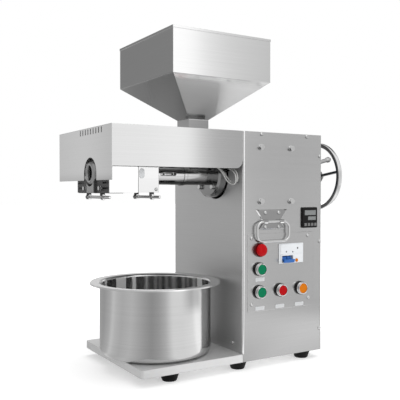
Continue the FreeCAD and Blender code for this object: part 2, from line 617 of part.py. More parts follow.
# ---- hood, hopper and pot ------------------------------------------------------------------
def hood():
    """Folded cover: open below and against the cabinet, arch and vents in the end panel."""
    right = -HOOD_GAP
    outer = box(HOOD_LEFT, right, 0, CAB_D, HOOD_END_Z, TOP_Z)
    hollow = box(HOOD_LEFT + SHEET, right + 1, SHEET, CAB_D - SHEET, HOOD_END_Z - 1, TOP_Z - SHEET)
    lower = box(HOOD_LEFT + SHEET + 0.001, right + 1, -1, CAB_D + 1, HOOD_END_Z - 1, HOOD_SIDE_Z)
    side = HOOD_CORNER_R
    corner = box(right - side, right + 1, -1, CAB_D + 1, HOOD_SIDE_Z - 1, HOOD_SIDE_Z + side)
    corner = corner.cut(rod_y(side, -1, CAB_D + 1, right - side, HOOD_SIDE_Z + side))
    arch_z = AXIS_Z - ARCH_DROP
    arch = fuse([rod_x(ARCH_R, HOOD_LEFT - 1, HOOD_LEFT + 3, AXIS_Y, arch_z),
                 box(HOOD_LEFT - 1, HOOD_LEFT + 3, AXIS_Y - ARCH_R, AXIS_Y + ARCH_R, HOOD_END_Z - 1, arch_z)])
    tools = [hollow, lower, corner, arch]
    for i in range(9):
        y = 48.0 + 14.4 * i
        tools.append(box(HOOD_LEFT - 1, HOOD_LEFT + 3, y, y + 4.5, TOP_Z - 13.5, TOP_Z - 2.5))
    tools.append(box(HOPPER_X - NECK / 2 - 1, HOPPER_X + NECK / 2 + 1, AXIS_Y - NECK / 2 - 1,
                     AXIS_Y + NECK / 2 + 1, TOP_Z - 3, TOP_Z + 1))
    flange = box(right - 1, right, SHEET, SHEET + 12, HOOD_SIDE_Z + side, TOP_Z - SHEET)
    flange_rear = box(right - 1, right, CAB_D - SHEET - 12, CAB_D - SHEET, HOOD_SIDE_Z + side, TOP_Z - SHEET)
    shell = fuse([cut(outer, tools), flange, flange_rear])
    return cut(shell, [rod_x(2.1, right - 2, 1, y, z) for y, z in HOOD_SCREWS])


HOOD_SCREWS = [(8.0, TOP_Z - 16.0), (8.0, HOOD_SIDE_Z + 30.0), (CAB_D - 8.0, TOP_Z - 16.0),
               (CAB_D - 8.0, HOOD_SIDE_Z + 30.0)]


def square_loft(levels):
    """Loft through centred rectangles; levels are (width, depth, z)."""
    wires = []
    for w, d, z in levels:
        wires.append(loop_xy(HOPPER_X, AXIS_Y, w / 2, d / 2, z))
    return Part.makeLoft(wires, True, True)


def hopper():
    """Sheet hopper: straight rim, pyramid funnel, square neck that stands in the chute."""
    neck_z = TOP_Z - 22.0
    outer = fuse([square_loft([(HOPPER_W, HOPPER_D, HOPPER_FOLD_Z), (HOPPER_W, HOPPER_D, HOPPER_TOP_Z)]),
                  square_loft([(NECK, NECK, HOPPER_FUNNEL_Z), (HOPPER_W, HOPPER_D, HOPPER_FOLD_Z)]),
                  square_loft([(NECK, NECK, neck_z), (NECK, NECK, HOPPER_FUNNEL_Z)])])
    t2 = 2 * HOPPER_T
    inner = fuse([square_loft([(HOPPER_W - t2, HOPPER_D - t2, HOPPER_FOLD_Z),
                               (HOPPER_W - t2, HOPPER_D - t2, HOPPER_TOP_Z + 1)]),
                  square_loft([(NECK - t2, NECK - t2, HOPPER_FUNNEL_Z),
                               (HOPPER_W - t2, HOPPER_D - t2, HOPPER_FOLD_Z)]),
                  square_loft([(NECK - t2, NECK - t2, neck_z - 1), (NECK - t2, NECK - t2, HOPPER_FUNNEL_Z)])])
    collar = box(HOPPER_X - 33, HOPPER_X + 33, AXIS_Y - 33, AXIS_Y + 33, TOP_Z + 0.2, TOP_Z + 1.7)
    collar = collar.cut(box(HOPPER_X - NECK / 2 + 0.2, HOPPER_X + NECK / 2 - 0.2, AXIS_Y - NECK / 2 + 0.2,
                            AXIS_Y + NECK / 2 - 0.2, TOP_Z, TOP_Z + 3))
    hem = square_loft([(HOPPER_W + 1.6, HOPPER_D + 1.6, HOPPER_TOP_Z - HEM_H),
                       (HOPPER_W + 1.6, HOPPER_D + 1.6, HOPPER_TOP_Z)])
    return fuse([cut(fuse([outer, hem]), [inner]), collar])


def feed_chute():
    """Socket for the hopper neck, narrowing to the barrel's feed port."""
    z0 = AXIS_Z + BARREL_R + 0.4
    z1 = TOP_Z - 24.0
    z2 = TOP_Z - 4.0
    half = NECK / 2 + 1.0
    px = PORT_X
    hp = PORT_W / 2 + 2.0

    def funnel(bottom_x, bottom_y, top):
        mouth = loop_xy(HOPPER_X, AXIS_Y, top, top, z1)
        return Part.makeLoft([loop_xy(px, AXIS_Y, bottom_x, bottom_y, z0), mouth], True, True)

    lower = funnel(hp, 15.0, half + 2)
    bore = funnel(hp - 2, 13.0, half)
    upper = square_loft([(2 * half + 4, 2 * half + 4, z1), (2 * half + 4, 2 * half + 4, z2)])
    upper_bore = square_loft([(2 * half, 2 * half, z1), (2 * half, 2 * half, z2)])
    body = fuse([cut(fuse([lower, upper]), [bore, upper_bore]), chute_saddle()])
    return cut(body, [box(px - hp + 2, px + hp - 2, AXIS_Y - 13, AXIS_Y + 13, AXIS_Z, z0 + 4)])


def chute_saddle():
    """Half shell that clasps the top of the barrel under the chute."""
    x0 = PORT_X - PORT_W / 2 - 4
    x1 = PORT_X + PORT_W / 2 + 4
    ring = rod_x(BARREL_R + 3.4, x0, x1).cut(rod_x(BARREL_R + 0.3, x0 - 1, x1 + 1))
    return ring.cut(box(x0 - 1, x1 + 1, AXIS_Y - 60, AXIS_Y + 60, AXIS_Z - 60, AXIS_Z + 12))


def loop_xy(x, y, hx, hy, z):
    return Part.makePolygon([V(x - hx, y - hy, z), V(x + hx, y - hy, z), V(x + hx, y + hy, z),
                             V(x - hx, y + hy, z), V(x - hx, y - hy, z)])


def oil_pot():
    """Deep drawn pot: rounded foot, straight wall, flat rim turned down at its edge."""
    z0 = TRAY_TOP + 0.2
    z1 = z0 + POT_H
    r = POT_R
    t = POT_T
    x, y = POT_X, POT_Y

    def p(radius, z):
        return V(x + radius, y, z)

    edges = [
        Part.makeLine(p(0, z0), p(r - 14, z0)),
        Part.Arc(p(r - 14, z0), p(r - 4.1, z0 + 4.1), p(r, z0 + 14)).toShape(),
        Part.makeLine(p(r, z0 + 14), p(r, z1 - 6 - t)),
        Part.Arc(p(r, z1 - 6 - t), p(r + 1.76, z1 - 1.76 - t), p(r + 6, z1 - t)).toShape(),
        Part.makeLine(p(r + 6, z1 - t), p(POT_RIM_R - 2.5, z1 - t)),
        Part.makeLine(p(POT_RIM_R - 2.5, z1 - t), p(POT_RIM_R - 1.2, z1 - 3.6)),
        Part.makeLine(p(POT_RIM_R - 1.2, z1 - 3.6), p(POT_RIM_R, z1 - 3.2)),
        Part.makeLine(p(POT_RIM_R, z1 - 3.2), p(POT_RIM_R - 1.6, z1)),
        Part.makeLine(p(POT_RIM_R - 1.6, z1), p(r + 6, z1)),
        Part.Arc(p(r + 6, z1), p(r + 0.91, z1 - 1.91), p(r - t, z1 - 6 - t)).toShape(),
        Part.makeLine(p(r - t, z1 - 6 - t), p(r - t, z0 + 14)),
        Part.Arc(p(r - t, z0 + 14), p(r - 4.1 - 0.85, z0 + 4.1 + 0.85), p(r - 14, z0 + t)).toShape(),
        Part.makeLine(p(r - 14, z0 + t), p(0, z0 + t)),
        Part.makeLine(p(0, z0 + t), p(0, z0)),
    ]
    return Part.Face(Part.Wire(edges)).revolve(V(x, y, 0), Z_AXIS, 360)


# ---- press head -----------------------------------------------------------------------------
def barrel_flange():
    """Turned flange on the cabinet wall that holds the barrel's root."""
    body = revolve_x([(-FLANGE_T, BARREL_R), (-FLANGE_T, FLANGE_R - 4.0), (-FLANGE_T + 4, FLANGE_R),
                      (-0.3, FLANGE_R), (-0.3, 46.0), (BOX_X0 - 0.2, 46.0), (BOX_X0 - 0.2, BARREL_R)])
    return cut(body, [rod_x(4.2, -FLANGE_T - 1, BOX_X0 + 1, y, z) for y, z in flange_bolt_places()])


def flange_bolt_places():
    angles = [math.radians(45 + 90 * i) for i in range(4)]
    return [(AXIS_Y + FLANGE_BOLT_R * math.cos(a), AXIS_Z + FLANGE_BOLT_R * math.sin(a)) for a in angles]


def press_bolts():
    """Hex bolts of the flange and of the cross block."""
    bolts = [hex_bolt(V(BLOCK_X0 - 0.01, y, BASE_Z + 376.0), V(-1, 0, 0), across=8.0, head=4.0, shank_r=3.0,
                      shank=BLOCK_X1 - BLOCK_X0 + 7.0) for y in BRACKET_BOLT_YS]
    bolts += [hex_bolt(V(-FLANGE_T - 0.01, y, z), V(-1, 0, 0), across=10.0, head=5.0, shank_r=3.9,
                       shank=FLANGE_T + BOX_X0 + 4) for y, z in flange_bolt_places()]
    return Part.makeCompound(bolts)


def press_barrel():
    """Feed barrel: heavy tube from the reducer to the collar, with the feed port on top."""
    body = revolve_x([(COLLAR_X - COLLAR_T, BORE_R), (COLLAR_X - COLLAR_T, COLLAR_R),
                      (COLLAR_X - 1, COLLAR_R), (COLLAR_X, COLLAR_R - 0.8), (COLLAR_X, BARREL_R), (BOX_X0 - 0.3, BARREL_R - 0.05),
                      (BOX_X0 - 0.3, BORE_R)])
    port = box(PORT_X - PORT_W / 2, PORT_X + PORT_W / 2, AXIS_Y - 13, AXIS_Y + 13, AXIS_Z, AXIS_Z + 40)
    return cut(body, [port])


def slot_tool(x, angle):
    """Round-ended slot that cuts outwards through the cage wall."""
    half = SLOT_L / 2 - SLOT_W / 2
    bar = box(x - half, x + half, AXIS_Y - SLOT_W / 2, AXIS_Y + SLOT_W / 2, AXIS_Z + 8, AXIS_Z + 32)
    ends = [rod_z(SLOT_W / 2, AXIS_Z + 8, AXIS_Z + 32, x - half, AXIS_Y),
            rod_z(SLOT_W / 2, AXIS_Z + 8, AXIS_Z + 32, x + half, AXIS_Y)]
    tool = fuse([bar] + ends)
    tool.rotate(V(0, AXIS_Y, AXIS_Z), X_AXIS, angle)
    return tool


def press_cage():
    """Drain cage: tube with rows of slots all round."""
    right = COLLAR_X - COLLAR_T
    body = revolve_x([(CAGE_LEFT, BORE_R), (CAGE_LEFT, BARREL_R), (right - 0.05, BARREL_R),
                      (right - 0.05, BORE_R)])
    tools = []
    for row in range(8):
        for x in (right - 21.0 - SLOT_L / 2, right - 28.0 - 3 * SLOT_L / 2):
            tools.append(slot_tool(x, 45.0 * row))
    return cut(body, tools)


def cake_head():
    """Head that chokes the cake: coupling sleeve, cone and body with a threaded mouth."""
    body = revolve_x([(HEAD_LEFT + 8, 18.3), (HEAD_LEFT + 8, HEAD_R - 1), (HEAD_LEFT + 10, HEAD_R),
                      (-250.0, HEAD_R), (-244.0, 31.0), (CAGE_LEFT + 12.0, 31.0),
                      (CAGE_LEFT + 12.0, BARREL_R + 0.05), (CAGE_LEFT - 0.1, BARREL_R + 0.05),
                      (CAGE_LEFT - 0.1, BORE_R), (-226.0, 15.0), (HEAD_LEFT + 26, 15.0),
                      (HEAD_LEFT + 26, 18.3)])
    ledge = box(BLOCK_X1 + 0.1, BLOCK_X1 + 12, AXIS_Y - 58, AXIS_Y + 46, BLOCK_Z0 + 2, BLOCK_Z0 + 20)
    ledge = cut(ledge, [rod_x(3.05, BLOCK_X1, BLOCK_X1 + 9, y, BASE_Z + 376.0) for y in BRACKET_BOLT_YS])
    return fuse([body, ledge])


def cake_nozzle():
    """Screwed ring in the mouth of the head; the cake leaves through its bore."""
    x = HEAD_LEFT
    ring = revolve_x([(x, CAKE_R), (x, 24.0), (x + 1.5, 25.5), (x + 7.4, 25.5), (x + 7.4, 18.0),
                      (x + 25.4, 18.0), (x + 25.4, CAKE_R)])
    holes = [rod_x(1.8, HEAD_LEFT - 1, HEAD_LEFT + 4, AXIS_Y + 20.5 * math.cos(math.radians(a)),
                   AXIS_Z + 20.5 * math.sin(math.radians(a))) for a in (0, 90, 180, 270)]
    return cut(ring, holes)


def heater_band():
    """Band heater clamped round the head, split at the top with a clamp ear each side."""
    x0, x1 = -240.0, -192.0
    ring = rod_x(35.5, x0, x1).cut(rod_x(31.3, x0 - 1, x1 + 1))
    ears = [box(x0 + 4, x1 - 4, AXIS_Y - 5.5, AXIS_Y - 2.5, AXIS_Z + 32, AXIS_Z + 47),
            box(x0 + 4, x1 - 4, AXIS_Y + 2.5, AXIS_Y + 5.5, AXIS_Z + 32, AXIS_Z + 47)]
    block = box(x1 - 22, x1 - 2, AXIS_Y + 14, AXIS_Y + 30, AXIS_Z + 22, AXIS_Z + 44)
    body = fuse([ring.cut(box(x0 - 1, x1 + 1, AXIS_Y - 2.5, AXIS_Y + 2.5, AXIS_Z + 20, AXIS_Z + 50))] + ears
                + [block.cut(rod_x(31.3, x0 - 1, x1 + 1))])
    screws = [rod_y(2.0, AXIS_Y - 9, AXIS_Y + 9, x, AXIS_Z + 41.5) for x in (x0 + 12, x1 - 12)]
    return fuse([body] + screws)


def heater_lead(points):
    """Lead from the heater's terminal block over the barrel, down in a loop, in and to the controller."""
    return cord([V(*point) for point in points], LEAD_R)


def head_bracket():
    """Cast cross block with the boss that flows up round the head; grooves across its ends."""
    block = box(BLOCK_X0, BLOCK_X1, BLOCK_Y0, BLOCK_Y1, BLOCK_Z0, BLOCK_Z1)
    block = block.makeFillet(4.0, [e for e in block.Edges if e.BoundBox.XLength > 5])
    neck = Part.makeLoft([Part.makePolygon([V(x, AXIS_Y - 38, BLOCK_Z0 + 6), V(x, AXIS_Y + 38, BLOCK_Z0 + 6),
                                            V(x, AXIS_Y + 26, AXIS_Z), V(x, AXIS_Y - 26, AXIS_Z),
                                            V(x, AXIS_Y - 38, BLOCK_Z0 + 6)])
                          for x in (BLOCK_X0 + 3, BLOCK_X1)], True, True)
    ring = rod_x(HEAD_R + 8.5, BLOCK_X0 + 9, BLOCK_X1)
    boss = box(BLOCK_X0 - BOSS_T, BLOCK_X0 + 2, AXIS_Y - 24.0, AXIS_Y + 20.0, BLOCK_Z0, BLOCK_Z1)
    boss = boss.makeFillet(3.5, [e for e in boss.Edges if e.BoundBox.XMax < BLOCK_X0 - BOSS_T + 0.01])
    body = fuse([block, neck, ring, boss])
    body = fuse([body] + clamp_lugs(TIE_XS[0], BLOCK_Z0 + 2.0))
    tools = [rod_x(HEAD_R + 0.05, BLOCK_X0 - 1 - BOSS_T, BLOCK_X1 + 1)]
    for z in (BLOCK_Z0 + 8.2, BLOCK_Z0 + 19.2):
        tools.append(box(BLOCK_X0 - 1, BLOCK_X0 + GROOVE_T, BLOCK_Y0 - 1, BRACKET_BOLT_YS[0] - 8.5, z, z + 3.6))
        tools.append(box(BLOCK_X0 - 1, BLOCK_X0 + GROOVE_T, BRACKET_BOLT_YS[1] + 8.5, BLOCK_Y1 + 1, z, z + 3.6))
    tools += [rod_x(3.2, BLOCK_X0 - 1, BLOCK_X1 + 1, y, BASE_Z + 376.0) for y in BRACKET_BOLT_YS]
    return cut(body, tools)


BRACKET_BOLT_YS = (61.0, 145.0)


def guard_front():
    """Polished front guard: two lapped plates with a narrow seam, and the hole of its screw."""
    back = GUARD_Y + GUARD_T
    near = box(GUARD_LEFT, GUARD_SEAM, GUARD_Y, back, GUARD_Z0, GUARD_Z1)
    lapped = box(GUARD_SEAM - 8.0, GUARD_RIGHT, back, back + GUARD_T, GUARD_Z0 + 1.0, GUARD_Z1)
    hole = rod_y(1.9, GUARD_Y - 1, back + 3, GUARD_RIGHT - 6.0, GUARD_Z0 + 7.0)
    return cut(fuse([near, lapped]), [hole])


def oil_guards():
    rear = box(GUARD_LEFT, GUARD_RIGHT, GUARD_Y_REAR, GUARD_Y_REAR + GUARD_T, GUARD_Z0, GUARD_Z1)
    return Part.makeCompound([guard_front(), rear])


def lug_pair(x, z0, z1):
    """Two upright flats, one each side of the press axis, whose outer faces are TIE_SPAN away."""
    return [box(x - LUG_W / 2, x + LUG_W / 2, min(y, y - side * LUG_T), max(y, y - side * LUG_T), z0, z1)
            for side, y in ((-1, AXIS_Y - TIE_SPAN), (1, AXIS_Y + TIE_SPAN))]


def clamp_lugs(x, top_z):
    """Lugs below the press, round-ended and bored for a clamp bolt along Y."""
    lugs = []
    for lug in lug_pair(x, TIE_Z, top_z):
        y0, y1 = lug.BoundBox.YMin, lug.BoundBox.YMax
        lugs.append(fuse([lug, rod_y(LUG_W / 2, y0, y1, x, TIE_Z)]))
    return [lug.cut(rod_y(3.2, AXIS_Y - 60, AXIS_Y + 60, x, TIE_Z)) for lug in lugs]


def sleeve_clamp():
    """Band round the cage's coupling, with two legs that end in the lugs of the second clamp bolt."""
    x = TIE_XS[1]
    x0 = x - 7.0
    x1 = x + 7.0
    legs = lug_pair(x, TIE_Z + 6, AXIS_Z)
    ring = rod_x(TIE_SPAN - 2.0, x0, x1)
    bridge = box(x0, x1, AXIS_Y - TIE_SPAN, AXIS_Y + TIE_SPAN, AXIS_Z - 3.0, AXIS_Z + 3.0)
    body = fuse([ring, bridge] + legs).cut(rod_x(31.05, x0 - 1, x1 + 1))
    return fuse([body] + clamp_lugs(x, TIE_Z + 8))


def tie_bolts():
    """Clamp bolts: head and lock nut at the rear lug, washer and nut at the front one, long thread."""
    bolts = []
    front = AXIS_Y - TIE_SPAN
    rear = AXIS_Y + TIE_SPAN
    for x in TIE_XS:
        shank = rod_y(3.0, TIE_NEAR_Y + 1.0, rear + 4, x, TIE_Z)
        tip = turned([(0, 0), (3.0, 0), (2.2, 1.0), (0, 1.0)], V(x, TIE_NEAR_Y + 1.0, TIE_Z), V(0, -1, 0))
        head = hexagon(10.0, 4.2, V(x, rear + 0.05, TIE_Z), V(0, 1, 0))
        washer = rod_y(6.2, front - 1.45, front - 0.05, x, TIE_Z)
        nut = hexagon(10.0, 5.2, V(x, front - 1.45, TIE_Z), V(0, -1, 0))
        lock = hexagon(10.0, 5.0, V(x, rear - LUG_T - 0.05, TIE_Z), V(0, -1, 0))
        bolts.append(fuse([shank, tip, head, washer, nut, lock]))
    return Part.makeCompound(bolts)


def press_screw():
    """Screw with a root that swells towards the cake end, one helical flight, and a shaft tail."""
    x0 = CAGE_LEFT + 4.0
    x1 = -32.0
    pitch = 21.0
    length = x1 - x0 - 16.0
    core = revolve_x([(x0 - 34, 0), (x0 - 34, 5.0), (x0 - 2, 12.6), (x0 + 2, 13.2), (x1, 9.0), (x1 + 2, 15.6),
                      (BOX_X0 + 2, 15.6), (BOX_X0 + 3, 14.9), (BOX_X0 + 60, 14.9), (BOX_X0 + 60, 0)])
    helix = Part.makeHelix(pitch, length, 12.0)
    profile = Part.makePolygon([V(7.6, 0, -3.6), V(16.5, 0, -1.6), V(16.5, 0, 1.6), V(7.6, 0, 3.6),
                                V(7.6, 0, -3.6)])
    flight = Part.Wire(helix).makePipeShell([profile], True, True)
    flight.Placement = FreeCAD.Placement(V(x0 + 6.0, AXIS_Y, AXIS_Z), FreeCAD.Rotation(Z_AXIS, X_AXIS))
    return core.fuse(flight)


# ---- reducer, motor and handwheel -------------------------------------------------------------
def gear(module, teeth, x0, x1, y, z, phase=0.0, bore=0.0):
    """Spur gear along X; phase in degrees turns a tooth away from +Y."""
    root = module * (teeth / 2 - 1.25)
    tip = module * (teeth / 2 + 0.92)
    step = 2 * math.pi / teeth
    points = []
    for i in range(teeth):
        a = i * step + math.radians(phase)
        for da, r in ((-0.27, root), (-0.11, tip), (0.11, tip), (0.27, root)):
            points.append(V(x0, y + r * math.cos(a + da * step), z + r * math.sin(a + da * step)))
    wheel = Part.Face(Part.makePolygon(points + [points[0]])).extrude(V(x1 - x0, 0, 0))
    if bore > 0:
        wheel = wheel.cut(rod_x(bore, x0 - 1, x1 + 1, y, z))
    return wheel


def layshaft():
    wheel = gear(GEAR_FAST_M, GEAR_FAST_WHEEL, 109.0, 123.0, LAY_Y, AXIS_Z, 180.0 / GEAR_FAST_WHEEL)
    pinion = gear(GEAR_SLOW_M, GEAR_SLOW_PINION, 62.0, 94.0, LAY_Y, AXIS_Z, 180.0 / GEAR_SLOW_PINION)
    shaft = revolve_x([(BOX_X0 + 3, 0), (BOX_X0 + 3, 6.0), (62.0, 6.0), (62.0, 9.0), (109.0, 9.0),
                       (109.0, 13.0), (126.0, 13.0), (126.0, 6.0), (BOX_X1 - 3, 6.0), (BOX_X1 - 3, 0)],
                      LAY_Y, AXIS_Z)
    return fuse([wheel, pinion, shaft])


def output_gear():
    return gear(GEAR_SLOW_M, GEAR_SLOW_WHEEL, 64.0, 92.0, AXIS_Y, AXIS_Z, 0.0, 14.95)


def bearings():
    """Thrust race that takes the screw's push, and rings of the layshaft's and the input's bearings."""
    rings = [revolve_x([(BOX_X0 + WALL, 18.0), (BOX_X0 + WALL, 26.0), (BOX_X0 + WALL + 12, 26.0),
                        (BOX_X0 + WALL + 12, 18.0)]),
             revolve_x([(BOX_X0 + 2, 6.3), (BOX_X0 + 2, 12.9), (BOX_X0 + WALL, 12.9), (BOX_X0 + WALL, 6.3)],
                       LAY_Y, AXIS_Z),
             revolve_x([(BOX_X1 - WALL, 6.3), (BOX_X1 - WALL, 12.9), (BOX_X1 - 2, 12.9), (BOX_X1 - 2, 6.3)],
                       LAY_Y, AXIS_Z),
             revolve_x([(BOX_X1 - WALL, SHAFT_R + 0.3), (BOX_X1 - WALL, 15.9), (BOX_X1 - 2, 15.9),
                        (BOX_X1 - 2, SHAFT_R + 0.3)])]
    return Part.makeCompound(rings)


def gearbox_housing():
    """Cast box open to the right, with feet pads for the bolts through the cabinet front."""
    outer = box(BOX_X0, BOX_X1 - WALL - 0.2, 14.0, BOX_Y1, BOX_Z0, BOX_Z1)
    outer = outer.makeFillet(8.0, [e for e in outer.Edges if e.BoundBox.XLength > 50])
    hollow = box(BOX_X0 + WALL, BOX_X1, 14.0 + WALL, BOX_Y1 - WALL, BOX_Z0 + WALL, BOX_Z1 - WALL)
    joint_x = BOX_X1 - WALL - 0.2
    feet = [box(x - 9, min(x + 9, joint_x), SHEET + 0.1, 20.0, z - 9, z + 9) for x, z in GEARBOX_BOLTS]
    feet += [box(x - 9, x + 9, SHEET + 0.1, 13.8, z - 9, z + 9) for x, z in GEARBOX_BOLTS]
    body = fuse([outer.cut(hollow)] + feet)
    tools = [rod_x(16.2, BOX_X0 - 1, BOX_X0 + WALL + 1),
             rod_x(13.0, BOX_X0 + 2, BOX_X0 + WALL + 1, LAY_Y, AXIS_Z)]
    tools += [rod_y(2.8, 0, 16.0, x, z) for x, z in GEARBOX_BOLTS]
    tools += [rod_x(3.95, BOX_X0 - 1, BOX_X0 + 6, y, z) for y, z in flange_bolt_places()]
    return cut(body, tools)


def gearbox_cover():
    """Cover plate of the reducer, which also carries the motor's spigot."""
    plate = box(BOX_X1 - WALL, BOX_X1, 14.0, BOX_Y1, BOX_Z0, BOX_Z1)
    plate = plate.makeFillet(8.0, [e for e in plate.Edges if abs(e.BoundBox.XLength - WALL) < 0.1])
    tools = [rod_x(16.0, BOX_X1 - WALL - 1, BOX_X1 + 1),
             rod_x(13.0, BOX_X1 - WALL - 1, BOX_X1 - 2, LAY_Y, AXIS_Z)]
    tools += [rod_x(2.6, BOX_X1 - WALL - 1, BOX_X1 + 1, y, z) for y, z in cover_screw_places()]
    return cut(plate, tools)


def cover_screw_places():
    return [(19.0 + 208.0 * i, AXIS_Z + dz) for i in (0, 1) for dz in (-60.0, 0.0, 60.0)]


def gearbox_bolts():
    """Hex bolts that hold the reducer to the cabinet front, and those of its cover."""
    bolts = [hex_bolt(V(x, -0.01, z), V(0, -1, 0), across=11.0, head=4.6, shank_r=2.7, shank=13.0)
             for x, z in GEARBOX_BOLTS]
    bolts += [hex_bolt(V(BOX_X1 + 0.01, y, z), X_AXIS, across=8.0, head=3.5, shank_r=2.4, shank=WALL)
              for y, z in cover_screw_places()]
    return Part.makeCompound(bolts)


def motor_body():
    """Finned motor frame with two end shields and the terminal box on top."""
    fins = []
    for i in range(16):
        top = AXIS_Z + MOTOR_R
        fin = box(MOTOR_X0 + 16, CAB_W - 6, AXIS_Y - 1.2, AXIS_Y + 1.2, top - 9, top)
        fin.rotate(V(0, AXIS_Y, AXIS_Z), X_AXIS, 22.5 * i + 11.25)
        fins.append(fin)
    shell = revolve_x([(MOTOR_X0, SHAFT_R + 0.3), (MOTOR_X0, MOTOR_R - 8), (MOTOR_X0 + 4, MOTOR_R - 2),
                       (MOTOR_X0 + 14, MOTOR_R - 2), (MOTOR_X0 + 16, MOTOR_R - 7), (CAB_W - 6, MOTOR_R - 7),
                       (CAB_W - 4, MOTOR_R - 2), (CAB_W + 10, MOTOR_R - 2), (CAB_W + 12, MOTOR_R - 5),
                       (CAB_W + 12, SHAFT_R + 0.3)])
    box_top = box(MOTOR_X0 + 18, CAB_W - 10, AXIS_Y - 22, AXIS_Y + 22, AXIS_Z + MOTOR_R - 12,
                  AXIS_Z + MOTOR_R + 24)
    return fuse([shell] + fins + [box_top])


def fan_cowl():
    """Sheet cowl over the fan, with a ring of air slots round the shaft's hole."""
    body = revolve_x([(CAB_W + 2.0, MOTOR_R - 1.9), (CAB_W + 2.0, MOTOR_R), (COWL_X1 - 8, MOTOR_R),
                      (COWL_X1 - 2, MOTOR_R - 4), (COWL_X1, MOTOR_R - 10), (COWL_X1, SHAFT_R + 1.5),
                      (COWL_X1 - 1.5, SHAFT_R + 1.5), (COWL_X1 - 1.5, MOTOR_R - 10.6),
                      (COWL_X1 - 3.2, MOTOR_R - 5), (COWL_X1 - 8.6, MOTOR_R - 1.9)])
    slots = []
    for i in range(12):
        slot = box(COWL_X1 - 4, COWL_X1 + 1, AXIS_Y - 2.5, AXIS_Y + 2.5, AXIS_Z + 14, AXIS_Z + 36)
        slot.rotate(V(0, AXIS_Y, AXIS_Z), X_AXIS, 30 * i)
        slots.append(slot)
    return cut(body, slots)


def motor_shaft():
    """Shaft with the input pinion cut on its inner end and a stepped tail for the handwheel."""
    pinion = gear(GEAR_FAST_M, GEAR_FAST_PINION, 108.0, 124.0, AXIS_Y, AXIS_Z)
    shaft = revolve_x([(106.0, 0), (106.0, SHAFT_R - 0.5), (BOX_X1 - WALL - 6, SHAFT_R - 0.5),
                      (BOX_X1 - WALL - 6, SHAFT_R), (WHEEL_X - 6, SHAFT_R), (WHEEL_X - 6, SHAFT_R - 1.0),
                      (WHEEL_X + 12, SHAFT_R - 1.0), (WHEEL_X + 12, 4.0), (WHEEL_X + 24, 4.0),
                      (WHEEL_X + 24, 0)])
    return fuse([shaft, pinion])


def motor_fan():
    """Plastic fan on the tail of the motor, inside the cowl."""
    x0 = CAB_W + 16
    bore = SHAFT_R + 0.05
    hub = revolve_x([(x0, bore), (x0, 16.0), (x0 + 20, 14.0), (x0 + 20, bore)])
    disc = revolve_x([(x0, bore), (x0, 40.0), (x0 + 2, 40.0), (x0 + 2, bore)])
    blades = []
    for i in range(8):
        blade = box(CAB_W + 17, CAB_W + 40, AXIS_Y - 0.9, AXIS_Y + 0.9, AXIS_Z + 13, AXIS_Z + 40)
        blade.rotate(V(0, AXIS_Y, AXIS_Z), X_AXIS, 45 * i)
        blades.append(blade)
    return fuse([hub, disc] + blades)


SPOKE_ANGLE = 8.0        # turn of the wheel at rest
GRIP_R = 35.0
GRIP_TILT = 14.0


def grip_axis():
    """Foot and direction of the grip's spindle, on the upper spoke, leaning up a little."""
    a = math.radians(90 + SPOKE_ANGLE)
    foot = V(WHEEL_X + 8.0, AXIS_Y - GRIP_R * math.cos(a), AXIS_Z + GRIP_R * math.sin(a))
    lean = math.radians(GRIP_TILT)
    return foot, V(math.cos(lean), 0, math.sin(lean))


def handwheel():
    """Rim with a flat-oval section, four round spokes, hub, and the boss and spindle of the grip."""
    mid = WHEEL_MID
    centre = V(mid, AXIS_Y, AXIS_Z + WHEEL_R - 5.25)
    section = rounded_rect_wire(WHEEL_T, 10.5, 4.6, centre, X_AXIS, Z_AXIS)
    rim = Part.Face(section).revolve(V(0, AXIS_Y, AXIS_Z), X_AXIS, 360)
    hub = revolve_x([(WHEEL_X - 5, SHAFT_R - 0.95), (WHEEL_X - 5, 14.0), (WHEEL_X - 3, 16.0),
                     (WHEEL_X + 10, 16.0), (WHEEL_X + 12, 14.0), (WHEEL_X + 12, SHAFT_R - 0.95)])
    spokes = []
    for i in range(4):
        spoke = rod_z(3.6, AXIS_Z + 14, AXIS_Z + WHEEL_R - 9, mid, AXIS_Y)
        spoke.rotate(V(0, AXIS_Y, AXIS_Z), X_AXIS, 90 * i - SPOKE_ANGLE)
        spokes.append(spoke)
    foot, lean = grip_axis()
    boss = turned([(0, -9.0), (6.0, -9.0), (6.0, 3.0), (0, 3.0)], foot, lean)
    spindle = turned([(0, 0), (2.6, 0), (2.6, 44.0), (4.6, 44.0), (4.6, 46.0), (0, 46.0)], foot, lean)
    return fuse([rim, hub] + spokes + [boss, spindle])


def wheel_grip():
    """Turning sleeve on the wheel's spindle."""
    foot, lean = grip_axis()
    return turned([(2.9, 4.0), (5.6, 4.0), (5.2, 12.0), (5.2, 32.0), (7.2, 36.5), (7.2, 41.8), (6.2, 43.6), (2.9, 43.6)],
                  foot, lean)


def wheel_nut():
    washer = rod_x(9.0, WHEEL_X + 12.05, WHEEL_X + 13.5).cut(rod_x(4.05, WHEEL_X, WHEEL_X + 20))
    nut = hexagon(13.0, 7.0, V(WHEEL_X + 13.5, AXIS_Y, AXIS_Z), X_AXIS)
    return fuse([washer, nut.cut(rod_x(4.05, WHEEL_X, WHEEL_X + 40))])


